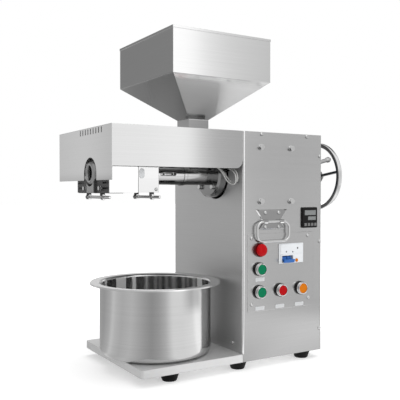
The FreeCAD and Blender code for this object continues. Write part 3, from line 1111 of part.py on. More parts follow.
def cable_gland():
    """Gland for the mains cable in the rear wall; its bore is empty."""
    x, z = 60.0, BASE_Z + 60.0
    body = revolve_y([(CAB_D - 8.0, 4.2), (CAB_D - 8.0, 7.8), (CAB_D + 0.02, 7.8), (CAB_D + 0.02, 11.0),
                      (CAB_D + 5.0, 11.0), (CAB_D + 5.0, 8.6), (CAB_D + 9.0, 8.6), (CAB_D + 15.3, 7.2),
                      (CAB_D + 15.3, 4.2)], x, z)
    nut = hexagon(20.0, 4.0, V(x, CAB_D - SHEET - 0.1, z), V(0, -1, 0))
    return fuse([body, nut.cut(rod_y(7.8, CAB_D - 9, CAB_D, x, z))])


# ---- export -------------------------------------------------------------------------------
NODES = {
    "base_tray": base_tray,
    "rubber_feet": rubber_feet,
    "foot_screws": foot_screws,
    "cabinet_shell": cabinet_shell,
    "side_cover": side_cover,
    "casing_screws": casing_screws,
    "control_plate": control_plate,
    "controller_body": controller_body,
    "controller_displays": controller_displays,
    "key_1": lambda: controller_key(0),
    "key_2": lambda: controller_key(1),
    "key_3": lambda: controller_key(2),
    "key_4": lambda: controller_key(3),
    "button_gaskets": button_gaskets,
    "button_bezels": button_bezels,
    "button_green_upper": lambda: push_button(COLUMN_X[0], START_Z),
    "button_green_lower": lambda: push_button(COLUMN_X[0], BUTTON_ROW_Z),
    "button_red": lambda: push_button(COLUMN_X[1], BUTTON_ROW_Z),
    "button_orange": lambda: push_button(COLUMN_X[2], BUTTON_ROW_Z),
    "stop_base": stop_base,
    "stop_button": stop_button,
    "breaker_body": breaker_body,
    "breaker_toggle": breaker_toggle,
    "breaker_test_button": breaker_test_button,
    "label_plates": label_plates,
    "handle_plates": handle_plates,
    "bail_front": bail,
    "bail_rear": lambda: bail(rear=True),
    "hood": hood,
    "hopper": hopper,
    "feed_chute": feed_chute,
    "oil_pot": oil_pot,
    "barrel_flange": barrel_flange,
    "press_bolts": press_bolts,
    "press_barrel": press_barrel,
    "press_cage": press_cage,
    "cake_head": cake_head,
    "cake_nozzle": cake_nozzle,
    "heater_band": heater_band,
    "heater_lead_front": lambda: heater_lead(LEAD_A),
    "heater_lead_rear": lambda: heater_lead(LEAD_B),
    "head_bracket": head_bracket,
    "sleeve_clamp": sleeve_clamp,
    "oil_guards": oil_guards,
    "tie_bolts": tie_bolts,
    "press_screw": press_screw,
    "layshaft": layshaft,
    "output_gear": output_gear,
    "bearings": bearings,
    "gearbox_housing": gearbox_housing,
    "gearbox_cover": gearbox_cover,
    "gearbox_bolts": gearbox_bolts,
    "motor_body": motor_body,
    "fan_cowl": fan_cowl,
    "motor_shaft": motor_shaft,
    "motor_fan": motor_fan,
    "handwheel": handwheel,
    "wheel_grip": wheel_grip,
    "wheel_nut": wheel_nut,
    "cable_gland": cable_gland,
}

os.makedirs("parts", exist_ok=True)
for name, make in NODES.items():
    shape = make()
    shape.translate(V(-CENTRE_X, -CENTRE_Y, 0))
    shape.exportStep("parts/" + name + ".step")
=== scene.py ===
# %% [markdown]
# # A screw oil press, dressed and lit
#
# The press arrives as a finished construction: sixty named pieces, each at its real size and each
# riding on the body that moves it. Nothing here moves or resizes them. This lesson gives every piece
# its finish, adds the two soft leads and the lip of the nozzle, and lights the whole on a white table.
# The first cell loads the construction.

import json
import math

import bpy
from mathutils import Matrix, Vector


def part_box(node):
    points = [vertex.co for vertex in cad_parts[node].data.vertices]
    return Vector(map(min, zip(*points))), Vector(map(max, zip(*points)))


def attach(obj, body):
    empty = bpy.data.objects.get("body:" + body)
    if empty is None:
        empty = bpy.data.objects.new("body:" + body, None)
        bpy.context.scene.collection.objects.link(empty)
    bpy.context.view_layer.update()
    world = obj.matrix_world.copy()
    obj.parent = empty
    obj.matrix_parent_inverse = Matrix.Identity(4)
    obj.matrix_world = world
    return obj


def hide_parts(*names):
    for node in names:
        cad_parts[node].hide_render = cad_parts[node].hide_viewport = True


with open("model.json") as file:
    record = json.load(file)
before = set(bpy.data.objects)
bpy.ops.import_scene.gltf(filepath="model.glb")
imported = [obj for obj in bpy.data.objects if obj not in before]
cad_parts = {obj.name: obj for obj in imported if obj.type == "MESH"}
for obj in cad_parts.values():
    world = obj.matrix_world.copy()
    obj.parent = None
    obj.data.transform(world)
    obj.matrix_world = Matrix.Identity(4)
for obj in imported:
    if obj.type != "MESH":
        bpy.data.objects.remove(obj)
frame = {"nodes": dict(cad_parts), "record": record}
nodes = frame["nodes"]
bpy.context.view_layer.update()

# %% [markdown]
# ## A short way to write shader maths
#
# A finish is a small graph of nodes. Wiring it by hand takes four lines for one multiplication, so a
# socket is wrapped in a class whose operators add the Math node for us. With the reflected forms,
# `1 - mask` works as well as `mask - 1`.

# %% Values
class Value:
    """A number that changes over a surface: the output socket of a node."""

    def __init__(self, finish, socket):
        self.finish = finish
        self.socket = socket

    def __add__(self, other):
        return self.finish.math("ADD", self, other)

    __radd__ = __add__

    def __mul__(self, other):
        return self.finish.math("MULTIPLY", self, other)

    __rmul__ = __mul__

    def __sub__(self, other):
        return self.finish.math("SUBTRACT", self, other)

    def __rsub__(self, other):
        return self.finish.math("SUBTRACT", other, self)

    def below(self, edge):
        return self.finish.math("LESS_THAN", self, edge)


def grey(level):
    return (level, level, level)


def opaque(value):
    """A colour given as three numbers, with its alpha; anything else as it is."""
    return (*value, 1.0) if isinstance(value, tuple) and len(value) == 3 else value


print("a middle grey with its alpha", opaque(grey(0.5)))

# %% [markdown]
# ## One method for every other node
#
# Everything that isn't arithmetic comes from one method, `node`, which sets the node's own settings
# and then its sockets. The rest of the class gives plain names to what the finishes ask for again and
# again: where a point is, which way its face looks, soft noise, and a blend of two colours.

# %% Finishes
class Finish:
    """A material whose surface is one Principled shader."""

    def __init__(self, name):
        self.material = bpy.data.materials.new(name)
        self.material.use_nodes = True
        self.tree = self.material.node_tree
        self.shader = self.tree.nodes["Principled BSDF"]

    def plug(self, socket, value):
        if isinstance(value, Value):
            self.tree.links.new(value.socket, socket)
        else:
            socket.default_value = value

    def node(self, kind, settings=None, sockets=None, out=0):
        made = self.tree.nodes.new(kind)
        for key, value in (settings or {}).items():
            setattr(made, key, value)
        for key, value in (sockets or {}).items():
            self.plug(made.inputs[key], value)
        return Value(self, made.outputs[out]) if made.outputs else None

    def math(self, operation, *values):
        return self.node("ShaderNodeMath", {"operation": operation}, dict(enumerate(values)))

    def place(self):
        """The point on the surface, in metres in the construction's own frame."""
        return self.node("ShaderNodeTexCoord", out="Object")

    def along(self, axis):
        """One coordinate of the point: 0, 1 or 2 for x, y or z."""
        return self.node("ShaderNodeSeparateXYZ", sockets={0: self.place()}, out=axis)

    def looks(self, axis):
        """How much the face looks along an axis, from -1 to 1."""
        face = self.node("ShaderNodeNewGeometry", out="True Normal")
        return self.node("ShaderNodeSeparateXYZ", sockets={0: face}, out=axis)

    def radius(self, first, second):
        """Distance from a line; each of the two is an axis and where the line is on it."""
        across, up = (self.along(axis) - place for axis, place in (first, second))
        return self.math("SQRT", across * across + up * up)

    def noise(self, per_metre, detail=3.0, roughness=0.5, offset=(0.0, 0.0, 0.0)):
        """Soft noise from 0 to 1; per_metre is how often it repeats along x, y and z."""
        stretched = self.node("ShaderNodeMapping", {}, {
            "Vector": self.place(), "Location": offset, "Scale": per_metre})
        return self.node("ShaderNodeTexNoise", {}, {
            "Vector": stretched, "Scale": 1.0, "Detail": detail, "Roughness": roughness})

    def mix(self, share, first, second):
        """Colour between two colours; share may change over the surface."""
        return self.node("ShaderNodeMix", {"data_type": "RGBA"},
                         {0: share, 6: opaque(first), 7: opaque(second)}, out=2)

    def fade(self, value, start, end):
        """0 up to start, 1 from end on, and straight between them."""
        return self.node("ShaderNodeMapRange", {}, {"Value": value, "From Min": start, "From Max": end})

    def bumped(self, height, distance, strength, edge):
        """The face's direction with its edges softened over a radius and a fine relief on top."""
        lit_edge = self.node("ShaderNodeBevel", {"samples": 4}, {"Radius": edge})
        return self.node("ShaderNodeBump", {}, {
            "Height": height, "Distance": distance, "Strength": strength, "Normal": lit_edge})

    def wear(self, **sockets):
        """Sets the shader's sockets, named with underscores for spaces, and returns the material."""
        for name, value in sockets.items():
            self.plug(self.shader.inputs[name.replace("_", " ")], opaque(value))
        return self.material


print("shader helpers ready")

# %% [markdown]
# ## The camera
#
# A catalogue view: the eye is level with the middle of the press, a metre and a half away and some
# thirty degrees round from the front, so the oil end and the control side both show. Its angles
# could be typed in; here the direction in which it looks gives them, so it always stands upright.

# %% Place the camera
eye = Vector((-0.8082, -1.2544, 0.3899))
look = Vector((0.5206, 0.8537, -0.0154))
lens = bpy.data.cameras.new("camera")
lens.lens = 56.48
lens.sensor_width = 36.0
camera = bpy.data.objects.new("camera", lens)
camera.location = eye
camera.rotation_euler = look.to_track_quat("-Z", "Y").to_euler()
bpy.context.collection.objects.link(camera)
bpy.context.scene.camera = camera
bpy.context.scene.view_settings.view_transform = "Standard"
print("camera", [round(v, 3) for v in eye], "yaw", round(math.degrees(math.atan2(look.x, look.y)), 1))

# %% [markdown]
# ## The two heater leads
#
# The heater band on the barrel is fed by two thin leads in glass-fibre sleeves. They run from its
# terminal block over the barrel, bow out in front of the press flange and go back through the wall
# to the temperature controller, so both ends are inside the machine and only the bow is seen.
# A lead could be a swept mesh; a NURBS curve with a round bevel is easier to lead, because
# it smooths the corners of its own control points. The same points are the route of the solid tubes.

# %% Lay the leads
sleeve_radius = 0.0016
drawing_middle = (25.65, 149.25)


def lead(name, drawn, node):
    """drawn: the route's points in the drawing's own millimetres."""
    route = [((x - drawing_middle[0]) / 1000.0, (y - drawing_middle[1]) / 1000.0, z / 1000.0)
             for x, y, z in drawn]
    curve = bpy.data.curves.new(name, "CURVE")
    curve.dimensions = "3D"
    curve.bevel_depth = 1.0
    curve.bevel_resolution = 3
    curve.resolution_u = 10
    curve.use_fill_caps = True
    spline = curve.splines.new("NURBS")
    spline.points.add(len(route) - 1)
    for point, place in zip(spline.points, route):
        point.co = (*place, 1.0)
        point.radius = sleeve_radius
    spline.order_u = 3
    spline.use_endpoint_u = True
    piece = bpy.data.objects.new(name, curve)
    bpy.context.collection.objects.link(piece)
    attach(piece, "cabinet")
    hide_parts(node)
    return piece


front_lead = lead("lead_front", [
    (-194, 130, 465), (-172, 130, 465), (-143, 121, 463.5), (-113, 103, 460), (-86, 84, 455),
    (-60, 65, 450), (-35, 49, 442), (-25, 43, 430), (-18.5, 41, 416), (-14, 35, 407),
    (-11, 25, 401.5), (-10, 13, 406), (-10, 12.5, 419), (-10, 20, 429), (-9, 33, 436),
    (-7, 46, 437.5), (3, 57, 437), (15, 56, 432), (22, 47, 418), (23, 45, 396), (25, 45, 370),
    (32, 48, 346), (47, 56, 331), (70, 68, 323), (97, 84, 319), (124, 98, 318), (150, 107, 321),
    (168.5, 105, 325), (176.5, 92, 328), (176.5, 78, 328)], "heater_lead_front")
rear_lead = lead("lead_rear", [
    (-194, 137, 460), (-170, 137, 460), (-141, 128, 459), (-109, 110, 457), (-80, 90, 454),
    (-53, 72, 449), (-29, 53, 441), (-19.5, 45.5, 429), (-12.5, 41, 416.5), (-8.5, 35.5, 409),
    (-6, 27, 405), (-5, 14, 409.5), (-5, 13, 422), (-5, 21, 432.5), (-5, 34, 438.5),
    (-6, 47, 442.5), (2, 58, 444), (15, 60, 440.5), (25, 51, 426), (28, 41, 404), (29, 36, 377),
    (33, 35, 350), (48, 43, 330), (71, 55, 318), (100, 73, 313), (129, 91, 313), (155, 101, 316),
    (174, 102, 321), (183.5, 91, 325), (183.5, 78, 325)], "heater_lead_rear")
print("laid", front_lead.name, "and", rear_lead.name)

# %% [markdown]
# ## The lip of the cake nozzle
#
# The dry cake leaves through a screwed ring in the middle of the end bracket. On the real press the
# ring ends in a short conical lip that stands proud of the hood, worn round by the cake. It is a
# turned piece, so its outline is drawn once, as distance along the axis and radius, and spun round
# that axis. A Screw modifier would do the same; a loop keeps the points in our hands. The lip turns
# with the nozzle.

# %% Spin the lip
def lathe(name, outline, centre, steps=64):
    """A closed outline of (x, radius) in metres, spun round the line through centre along x."""
    turns = [math.tau * k / steps for k in range(steps)]
    points = [(x, centre[0] + r * math.cos(turn), centre[1] + r * math.sin(turn))
              for x, r in outline for turn in turns]
    rows = [(i * steps, (i + 1) % len(outline) * steps) for i in range(len(outline))]
    faces = [(row + k, row + (k + 1) % steps, above + (k + 1) % steps, above + k)
             for row, above in rows for k in range(steps)]
    mesh = bpy.data.meshes.new(name)
    mesh.from_pydata(points, [], faces)
    mesh.shade_smooth()
    mesh.set_sharp_from_angle(angle=math.radians(35))
    made = bpy.data.objects.new(name, mesh)
    bpy.context.collection.objects.link(made)
    return made


nozzle_low, nozzle_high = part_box("cake_nozzle")
mouth_x = nozzle_low[0]
lip_outline = [(-0.0004, 0.0147), (-0.0004, 0.0246), (0.0022, 0.0238), (0.0052, 0.0212),
               (0.0062, 0.0196), (0.0063, 0.0180), (0.0060, 0.0160), (0.0045, 0.0149)]
nozzle_lip = lathe("nozzle_lip", [(mouth_x - ahead, r) for ahead, r in lip_outline],
                   ((nozzle_low[1] + nozzle_high[1]) / 2.0, (nozzle_low[2] + nozzle_high[2]) / 2.0))
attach(nozzle_lip, "nozzle")
print("nozzle lip at", round(mouth_x, 4))

# %% [markdown]
# ## Brushed sheet steel
#
# Most of the press is folded stainless sheet with a brushed face. A metal shows mainly what stands
# around it, so its finish is one of gloss: fine scratches in one direction, wide soft smudges where
# hands have been, and edges rounded enough to catch the light. The scratches run level round the
# walls, so their noise is long in x and y and very short in z. The Bevel node rounds the look of
# each edge without touching the mesh.

# %% A steel finish
def brushed(made, grain, tone):
    """A grey that is a little darker in one scratch and a little lighter in the next."""
    return made.mix(grain, grey(tone * 0.93), grey(tone * 1.05))


def steel(name, tone, rough, per_metre=(5.0, 5.0, 700.0), scratch=0.03, edge=0.0012, stretch=0.4,
          zones=(), metal=1.0):
    """zones: (mask, tone, roughness) where the piece's tone and gloss differ; most zones paint light or
    shade into the tone.
    """
    made = Finish(name)
    grain = made.noise(per_metre, 4.0, 0.65)
    smudges = made.noise((9.0, 9.0, 6.0), 3.0, 0.6, (3.1, 1.7, 0.4))
    colour = brushed(made, grain, tone)
    rough_here = rough + (grain - 0.5) * scratch + (smudges - 0.5) * 0.03
    for mask, zone_tone, zone_rough in zones:
        share = mask(made)
        colour = made.mix(share, colour, brushed(made, grain, zone_tone))
        rough_here = rough_here + share * (zone_rough - rough)
    return made.wear(Base_Color=colour, Metallic=metal, Roughness=rough_here, Anisotropic=stretch,
                     Normal=made.bumped(grain, 0.00001, 0.12, edge))


print("steel finish ready")

# %% [markdown]
# ## Where a finish changes
#
# One folded sheet is given more than one tone here. The tops are painted lighter and duller, the
# rounded folds carry a painted highlight, and the lowest part is painted darker, a painted reflection
# of the shaded table. Each such zone could be a piece of its own with its own material, but then there
# would be a hard line between them. A mask, a value from 0 to 1 worked out from where a point is and
# which way its face looks, keeps the sheet in one piece and lets the finish fade.

# %% Masks
def below_height(height, soft=0.002):
    """Mask: 1 below a height, 0 above it."""
    return lambda made: made.fade(made.along(2), height + soft, height - soft)


def right_of(place, soft=0.0002):
    """Mask: 1 on the +x side of a place, 0 on the other."""
    return lambda made: made.fade(made.along(0), place - soft, place + soft)


def facing(axis, least):
    """Mask: 1 where the face looks along an axis, whichever way round."""
    return lambda made: made.fade(made.math("ABSOLUTE", made.looks(axis)), least, least + 0.02)


def tilted(start, end):
    """Mask: from 0 to 1 as the upward part of the face's direction goes from start to end."""
    return lambda made: made.fade(made.looks(2), start, end)


def both(*masks):
    """Mask: 1 only where each of the masks is 1."""
    return lambda made: math.prod((mask(made) for mask in masks[1:]), start=masks[0](made))


def outside(mask):
    """Mask: 1 where the given mask is 0."""
    return lambda made: 1.0 - mask(made)


# Most of these masks place painted light and shade: lighter end walls and tops, a painted highlight on the
# rounded folds, darker faces near the table and faces that look down, and on the handle up.
end_wall, front_wall, level = facing(0, 0.9), facing(1, 0.9), facing(2, 0.9)
rounded_fold = both(facing(0, 0.2), facing(1, 0.2))
near_table = below_height(0.085, 0.075)
looking_down = tilted(-0.15, -0.45)
looking_up = tilted(0.15, 0.35)
print("masks ready")

# %% [markdown]
# ## The folded sheets
#
# Tray, cabinet, hood and hopper came out of different sheets and were brushed at different times, so
# each has its own tone and gloss. Light and shade are also painted into the tones, face by face.
# The oil guard is made of mirror-polished plates. The two in front lap over each other; the plate on
# the +x side of the lap is painted darker, and the lap is a painted dark line of shade. The places
# of folds and laps are measured from the pieces' own boxes, so they follow the construction.

# %% Sheet finishes
guard_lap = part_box("oil_guards")[0][0] + 0.0615
hopper_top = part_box("hopper")[1][2]
below_rim = below_height(hopper_top - 0.0935)
neck = below_height(hopper_top - 0.171)
lap_shade = both(right_of(guard_lap - 0.0006), outside(right_of(guard_lap + 0.0014)))
finishes = {
    "tray_steel": steel("tray steel", 0.72, 0.50, metal=0.5),
    # Painted light and shade: the end walls and tops are lighter, the rounded folds carry a painted
    # highlight, and the low front is darker, a painted reflection of the shaded table.
    "cabinet_steel": steel("cabinet steel", 0.56, 0.23, zones=[
        (end_wall, 0.65, 0.46), (level, 0.86, 0.36), (rounded_fold, 0.92, 0.14),
        (both(near_table, front_wall), 0.36, 0.23)]),
    # Painted light and shade: the plate's end faces are painted bright as a highlight, and its lowest part
    # darker, a painted reflection of the shaded table.
    "plate_steel": steel("control plate steel", 0.56, 0.23, edge=0.002, zones=[
        (end_wall, 1.0, 0.60), (near_table, 0.36, 0.23)]),
    # Painted light: the hood's top is lighter, and duller.
    "hood_steel": steel("hood steel", 0.58, 0.10, zones=[(level, 0.74, 0.50)]),
    # Painted light and shade: below the rim the front is lighter and the sides darker, and the neck is
    # darker.
    "hopper_steel": steel("hopper steel", 0.58, 0.11, zones=[
        (both(below_rim, facing(1, 0.3)), 0.74, 0.14), (both(below_rim, facing(0, 0.3)), 0.34, 0.12),
        (neck, 0.34, 0.14)]),
    # Painted shade: the plate on the +x side of the lap is darker, and the lap is a painted dark line.
    "guard_steel": steel("guard steel", 0.84, 0.12, zones=[
        (right_of(guard_lap), 0.68, 0.12), (lap_shade, 0.06, 0.3)]),
    # Painted shade: the handle's front faces and its faces that look up are darker.
    "handle_steel": steel("handle steel", 0.88, 0.08, zones=[
        (facing(1, 0.95), 0.40, 0.16), (looking_up, 0.30, 0.16)]),
    "band_steel": steel("heater band steel", 0.45, 0.38, (300.0, 5.0, 5.0)),
}
print(len(finishes), "sheet finishes, lap of the guard at", round(guard_lap, 4))

# %% [markdown]
# ## Turned steel
#
# The press barrel, the cake nozzle, the shafts and the bolts are turned, so their marks are rings
# round an axis. Noise that repeats often along the axis and hardly at all across it gives the rings,
# which is simpler than wrapping a flat texture round each piece. The wheel's rim is chromed; what it
# mirrors, the dark machine on its inside and the white room on its crown, is a painted reflection in
# its tone, which goes by the distance from the axis. The barrel below its axis, and the bolts and the
# grip where their faces look down, are painted darker as shade.

# %% Press, wheel and fasteners
def turned(name, tone, rough, axis, rings=900.0, scratch=0.06, edge=0.0008, stretch=0.3, zones=()):
    per_metre = [2.0, 2.0, 2.0]
    per_metre[axis] = rings
    return steel(name, tone, rough, tuple(per_metre), scratch, edge, stretch, zones)


joints = {joint["name"]: joint for joint in frame["record"]["behaviour"]["joints"]}
press_y, press_z = joints["screw_spin"]["pos_m"][1:]


def from_press_axis(start, end):
    """Mask: from 0 to 1 as the distance from the press's axis goes from start to end."""
    return lambda made: made.fade(made.radius((1, press_y), (2, press_z)), start, end)


# Painted shade: the barrel is darker below its axis.
finishes["press_steel"] = turned("press steel", 0.68, 0.15, 0, zones=[
    (below_height(press_z - 0.0125, 0.006), 0.16, 0.30)])
finishes["nozzle_steel"] = turned("nozzle steel", 0.34, 0.24, 0)
finishes["gear_steel"] = turned("gear steel", 0.45, 0.32, 0)
finishes["flange"] = turned("flange steel", 0.36, 0.18, 0)
# Painted shade: the faces of the bolts that look down are darker.
finishes["fastener"] = turned("zinc plated", 0.72, 0.12, 0, 400.0, 0.02, zones=[(looking_down, 0.16, 0.2)])
finishes["chrome"] = turned("chrome", 0.64, 0.06, 2, 200.0, 0.02, 0.0006, 0.0)
finishes["bezel_chrome"] = turned("collar chrome", 0.80, 0.10, 1, 300.0, 0.02, 0.0005, 0.0)
# Painted reflection: the rim is dark on its inside and outer edge and light on its crown.
finishes["wheel"] = turned("wheel chrome", 0.80, 0.08, 0, 200.0, 0.02, 0.0006, 0.0, zones=[
    (from_press_axis(0.0852, 0.0836), 0.15, 0.16), (from_press_axis(0.0870, 0.0884), 0.36, 0.12)])
# Painted shade: the grip's faces that look down are darker.
finishes["grip_chrome"] = turned("grip chrome", 0.42, 0.12, 0, 300.0, 0.02, 0.0006, 0.0, zones=[
    (looking_down, 0.12, 0.15)])
print("press axis at", press_y, press_z)

# %% [markdown]
# ## The oil pot
#
# The pot is drawn from one disc and spun smooth outside. Its inner wall has upright bands of light and
# dark; the light bands are a painted reflection, lighter in colour and rougher. The level faces, the
# rim and the floor, are painted darker as shade. Noise that changes round the wall and not along its
# height gives the bands, cut to hard edges by a short fade and kept to the inner wall by its radius.

# %% Pot
pot_low, pot_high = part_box("oil_pot")
pot_axis = ((pot_low[0] + pot_high[0]) / 2.0, (pot_low[1] + pot_high[1]) / 2.0)
pot_inner_radius = 0.1212
pot_floor = pot_low[2] + 0.014


def painted_light_bands(made):
    """Mask: 1 on the upright bands of the inner wall, painted lighter as a reflection."""
    bands = made.noise((34.0, 34.0, 0.0), 0.0, 0.5, (0.4, 0.9, 0.0))
    radius = made.radius((0, pot_axis[0]), (1, pot_axis[1]))
    within = made.fade(radius, pot_inner_radius, pot_inner_radius - 0.0004)
    return made.fade(bands, 0.52, 0.54) * within * made.fade(made.along(2), pot_floor, pot_floor + 0.002)


# Painted shade on the level faces, the rim and the floor; the bands inside are a painted reflection.
finishes["pot_steel"] = turned("pot steel", 0.62, 0.13, 2, 500.0, 0.02, zones=[
    (facing(2, 0.6), 0.46, 0.16), (painted_light_bands, 1.0, 0.7)])
print(len(finishes), "metal finishes, pot's axis at", [round(v, 3) for v in pot_axis])

# %% [markdown]
# ## Castings, paint and rubber
#
# The end bracket, the sleeve clamp and the gearbox are dark castings with a sandy skin; the motor is
# painted; feet and seals are rubber. None of these is a mirror: their colour is written once and
# varied a little, and a bump gives the skin its feel. Where a casting is milled flat the bare metal
# shows, so the same finish takes a mask of what is machined.

# %% Skins that aren't bare metal
def skin(name, colour, rough, mottle=0.15, grit=400.0, depth=0.00005, coat=0.0, gloss=0.25,
         machined=None, bare=0.42):
    """machined: a mask of where the skin is cut away and metal of the grey `bare` shows."""
    made = Finish(name)
    fine = made.noise((grit, grit, grit), 3.0, 0.6)
    wide = made.noise((14.0, 14.0, 14.0), 3.0, 0.6, (1.3, 2.9, 4.1))
    dark = tuple(c * (1.0 - mottle) for c in colour)
    light = tuple(min(1.0, c * (1.0 + mottle)) for c in colour)
    colour = made.mix(wide * 0.6 + fine * 0.4, dark, light)
    metal = 0.0
    if machined:
        metal = machined(made)
        colour = made.mix(metal, colour, grey(bare))
    return made.wear(Base_Color=colour, Metallic=metal, Roughness=rough + (wide - 0.5) * 0.12,
                     Coat_Weight=coat, Coat_Roughness=0.08, Specular_IOR_Level=gloss,
                     Normal=made.bumped(fine, depth, 0.6, 0.0008))


def milled_strip(made):
    """Mask: 1 on the strip of the bracket under the nozzle, where it is milled flat."""
    return made.fade(made.math("ABSOLUTE", made.along(1) - press_y), 0.0215, 0.0205)


finishes["cast_iron"] = skin("dark casting", grey(0.035), 0.42, 0.3, 500.0, 0.00015, 0.15)
finishes["bracket"] = skin("bracket casting", grey(0.035), 0.36, 0.3, 500.0, 0.00015,
                           machined=milled_strip)
finishes["motor_paint"] = skin("motor paint", (0.05, 0.09, 0.13), 0.38, 0.12, 350.0, 0.00008, 0.3)
finishes["rubber"] = skin("foot rubber", grey(0.006), 0.62, 0.3, 600.0, 0.0001, gloss=0.12)
finishes["lead_sheath"] = skin("glass-fibre sleeve", (0.50, 0.50, 0.49), 0.6, 0.25, 1400.0, 0.0002)
print(len(finishes), "finishes with castings, paint and rubber")

# %% [markdown]
# ## Plastics
#
# Buttons, keys, the breaker and the controller are moulded plastic: smooth, slightly mottled, with
# a fine skin. They differ only in colour and gloss, so a table gives those and one line makes them
# all. The breaker's face also has three small screws, which are discs of metal on its plastic.

# %% Plastic finishes
breaker_low, breaker_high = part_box("breaker_body")
breaker_x, breaker_z = (breaker_low[0] + breaker_high[0]) / 2.0, (breaker_low[2] + breaker_high[2]) / 2.0
screw_heads = [(-0.0155, 0.0040, 0.0017), (0.0030, 0.0030, 0.0017), (0.0170, 0.0110, 0.0021)]


def terminal_screws(made):
    """Mask: 1 on the screw heads in the breaker's face, each (across, up, radius) from its middle."""
    return sum(made.radius((0, breaker_x + across), (2, breaker_z + up)).below(radius)
               for across, up, radius in screw_heads)


plastics = {
    "black_plastic": (grey(0.007), 0.34, 0.2, 0.15), "key_plastic": (grey(0.16), 0.42, 0.06, 0.25),
    "white_plastic": ((0.74, 0.76, 0.78), 0.34, 0.03, 0.25),
    "blue_plastic": ((0.03, 0.13, 0.42), 0.30, 0.06, 0.25),
    "green_plastic": ((0.001, 0.17, 0.075), 0.24, 0.08, 0.12),
    "red_plastic": ((0.42, 0.0015, 0.004), 0.24, 0.08, 0.12),
    "stop_collar": ((0.11, 0.001, 0.002), 0.3, 0.08, 0.2),
    "orange_plastic": ((0.62, 0.17, 0.004), 0.26, 0.08, 0.12),
}
for slot, (colour, rough, mottle, gloss) in plastics.items():
    depth = 0.00003 if slot == "black_plastic" else 0.00002
    finishes[slot] = skin(slot.replace("_", " "), colour, rough, mottle, 900.0, depth, gloss=gloss)
finishes["breaker_face"] = skin("breaker face", (0.74, 0.76, 0.78), 0.34, 0.03, 900.0, 0.00002,
                                machined=terminal_screws, bare=0.10)
finishes["display"] = skin("display window", (0.20, 0.21, 0.21), 0.25, 0.05, 300.0, 0.0, 0.6)
finishes["sticker"] = skin("blank label", (0.60, 0.61, 0.62), 0.45, 0.02, 300.0, 0.0)
print(len(finishes), "finishes in all")

# %% [markdown]
# ## Dress every piece
#
# The record names, for each node, the finish that it takes. Going through that list means that no
# piece is forgotten, and that the list of finishes and the drawing can't drift apart. A few pieces
# look unlike the others of their metal, and take a finish of their own.

# %% Give each node its finish
own_finish = {"handwheel": "wheel", "barrel_flange": "flange", "feed_chute": "flange",
              "stop_base": "stop_collar", "head_bracket": "bracket", "breaker_body": "breaker_face"}
pieces = {nodes[row["node"]]: own_finish.get(row["node"], row["material_slot"])
          for row in frame["record"]["subparts"]}
pieces.update({front_lead: "lead_sheath", rear_lead: "lead_sheath", nozzle_lip: "nozzle_steel"})
for piece, finish in pieces.items():
    piece.data.materials.clear()
    piece.data.materials.append(finishes[finish])
print(len(pieces), "pieces dressed, still bare:", [name for name in nodes if nodes[name] not in pieces])

# %% [markdown]
# ## The white room
#
# The room is white. What the lens, a mirror or a glass sees of it is plain white, while the light
# that falls on dull surfaces is lower, so that they keep their own colours. A Light Path node tells
# the two apart, for the world here and for the table in the next step.

# %% The world
def seen(made):
    """1 for what the camera, a mirror or a glass sees, 0 for what lights a dull surface."""
    total = sum(made.node("ShaderNodeLightPath", out=ray)
                for ray in ("Is Camera Ray", "Is Glossy Ray", "Is Transmission Ray"))
    return made.node("ShaderNodeClamp", {}, {"Value": total})


class Surround(Finish):
    """A shader tree that ends in something other than the Principled shader."""

    def __init__(self, tree):
        self.tree = tree
        tree.nodes.clear()


def new_surround(name):
    """A material for the stage, with its empty tree."""
    material = bpy.data.materials.new(name)
    material.use_nodes = True
    return material, Surround(material.node_tree)


world = bpy.data.worlds.new("white room")
bpy.context.scene.world = world
world.use_nodes = True
room = Surround(world.node_tree)
glow = room.node("ShaderNodeBackground", {}, {
    "Color": opaque(grey(1.0)), "Strength": 0.55 + seen(room) * 0.45})
room.node("ShaderNodeOutputWorld", {}, {"Surface": glow})
print("white room")

# %% [markdown]
# ## The table
#
# The press stands on a wide white table that runs into the background. It keeps the soft shadow
# under the tray, and glows a little more with the distance from the press, so that no horizon shows.
# A plane that is bent up behind the press would do as well, but only from one side.

# %% The table
def panel(name, centre, size, target):
    """A flat rectangle that faces a point."""
    bpy.ops.mesh.primitive_plane_add(size=1.0, location=centre)
    made = bpy.context.object
    made.name = name
    made.scale = (size[0], size[1], 1.0)
    made.rotation_euler = (Vector(target) - Vector(centre)).to_track_quat("Z", "Y").to_euler()
    return made


table = panel("table", (0.0, 0.0, 0.0), (30.0, 30.0), (0.0, 0.0, 1.0))
table_white, board = new_surround("white table")
near_glow, far_glow = 0.42, 1.02
spot = board.node("ShaderNodeNewGeometry", out="Position")
away = board.node("ShaderNodeVectorMath", {"operation": "LENGTH"}, {0: spot}, out="Value")
glow_colour = board.mix(board.fade(away, 0.35, 0.95), grey(near_glow / far_glow), grey(1.0))
plain = board.node("ShaderNodeBsdfDiffuse", {}, {"Color": opaque(grey(0.88))})
shaded = board.node("ShaderNodeBsdfDiffuse", {}, {"Color": opaque(grey(0.72))})
bright = board.node("ShaderNodeEmission", {}, {"Color": glow_colour, "Strength": far_glow})
paper_white = board.node("ShaderNodeAddShader", {}, {0: shaded, 1: bright})
surface = board.node("ShaderNodeMixShader", {}, {0: seen(board), 1: plain, 2: paper_white})
board.node("ShaderNodeOutputMaterial", {}, {"Surface": surface})
table.data.materials.append(table_white)
print("table", [round(v, 1) for v in table.dimensions])

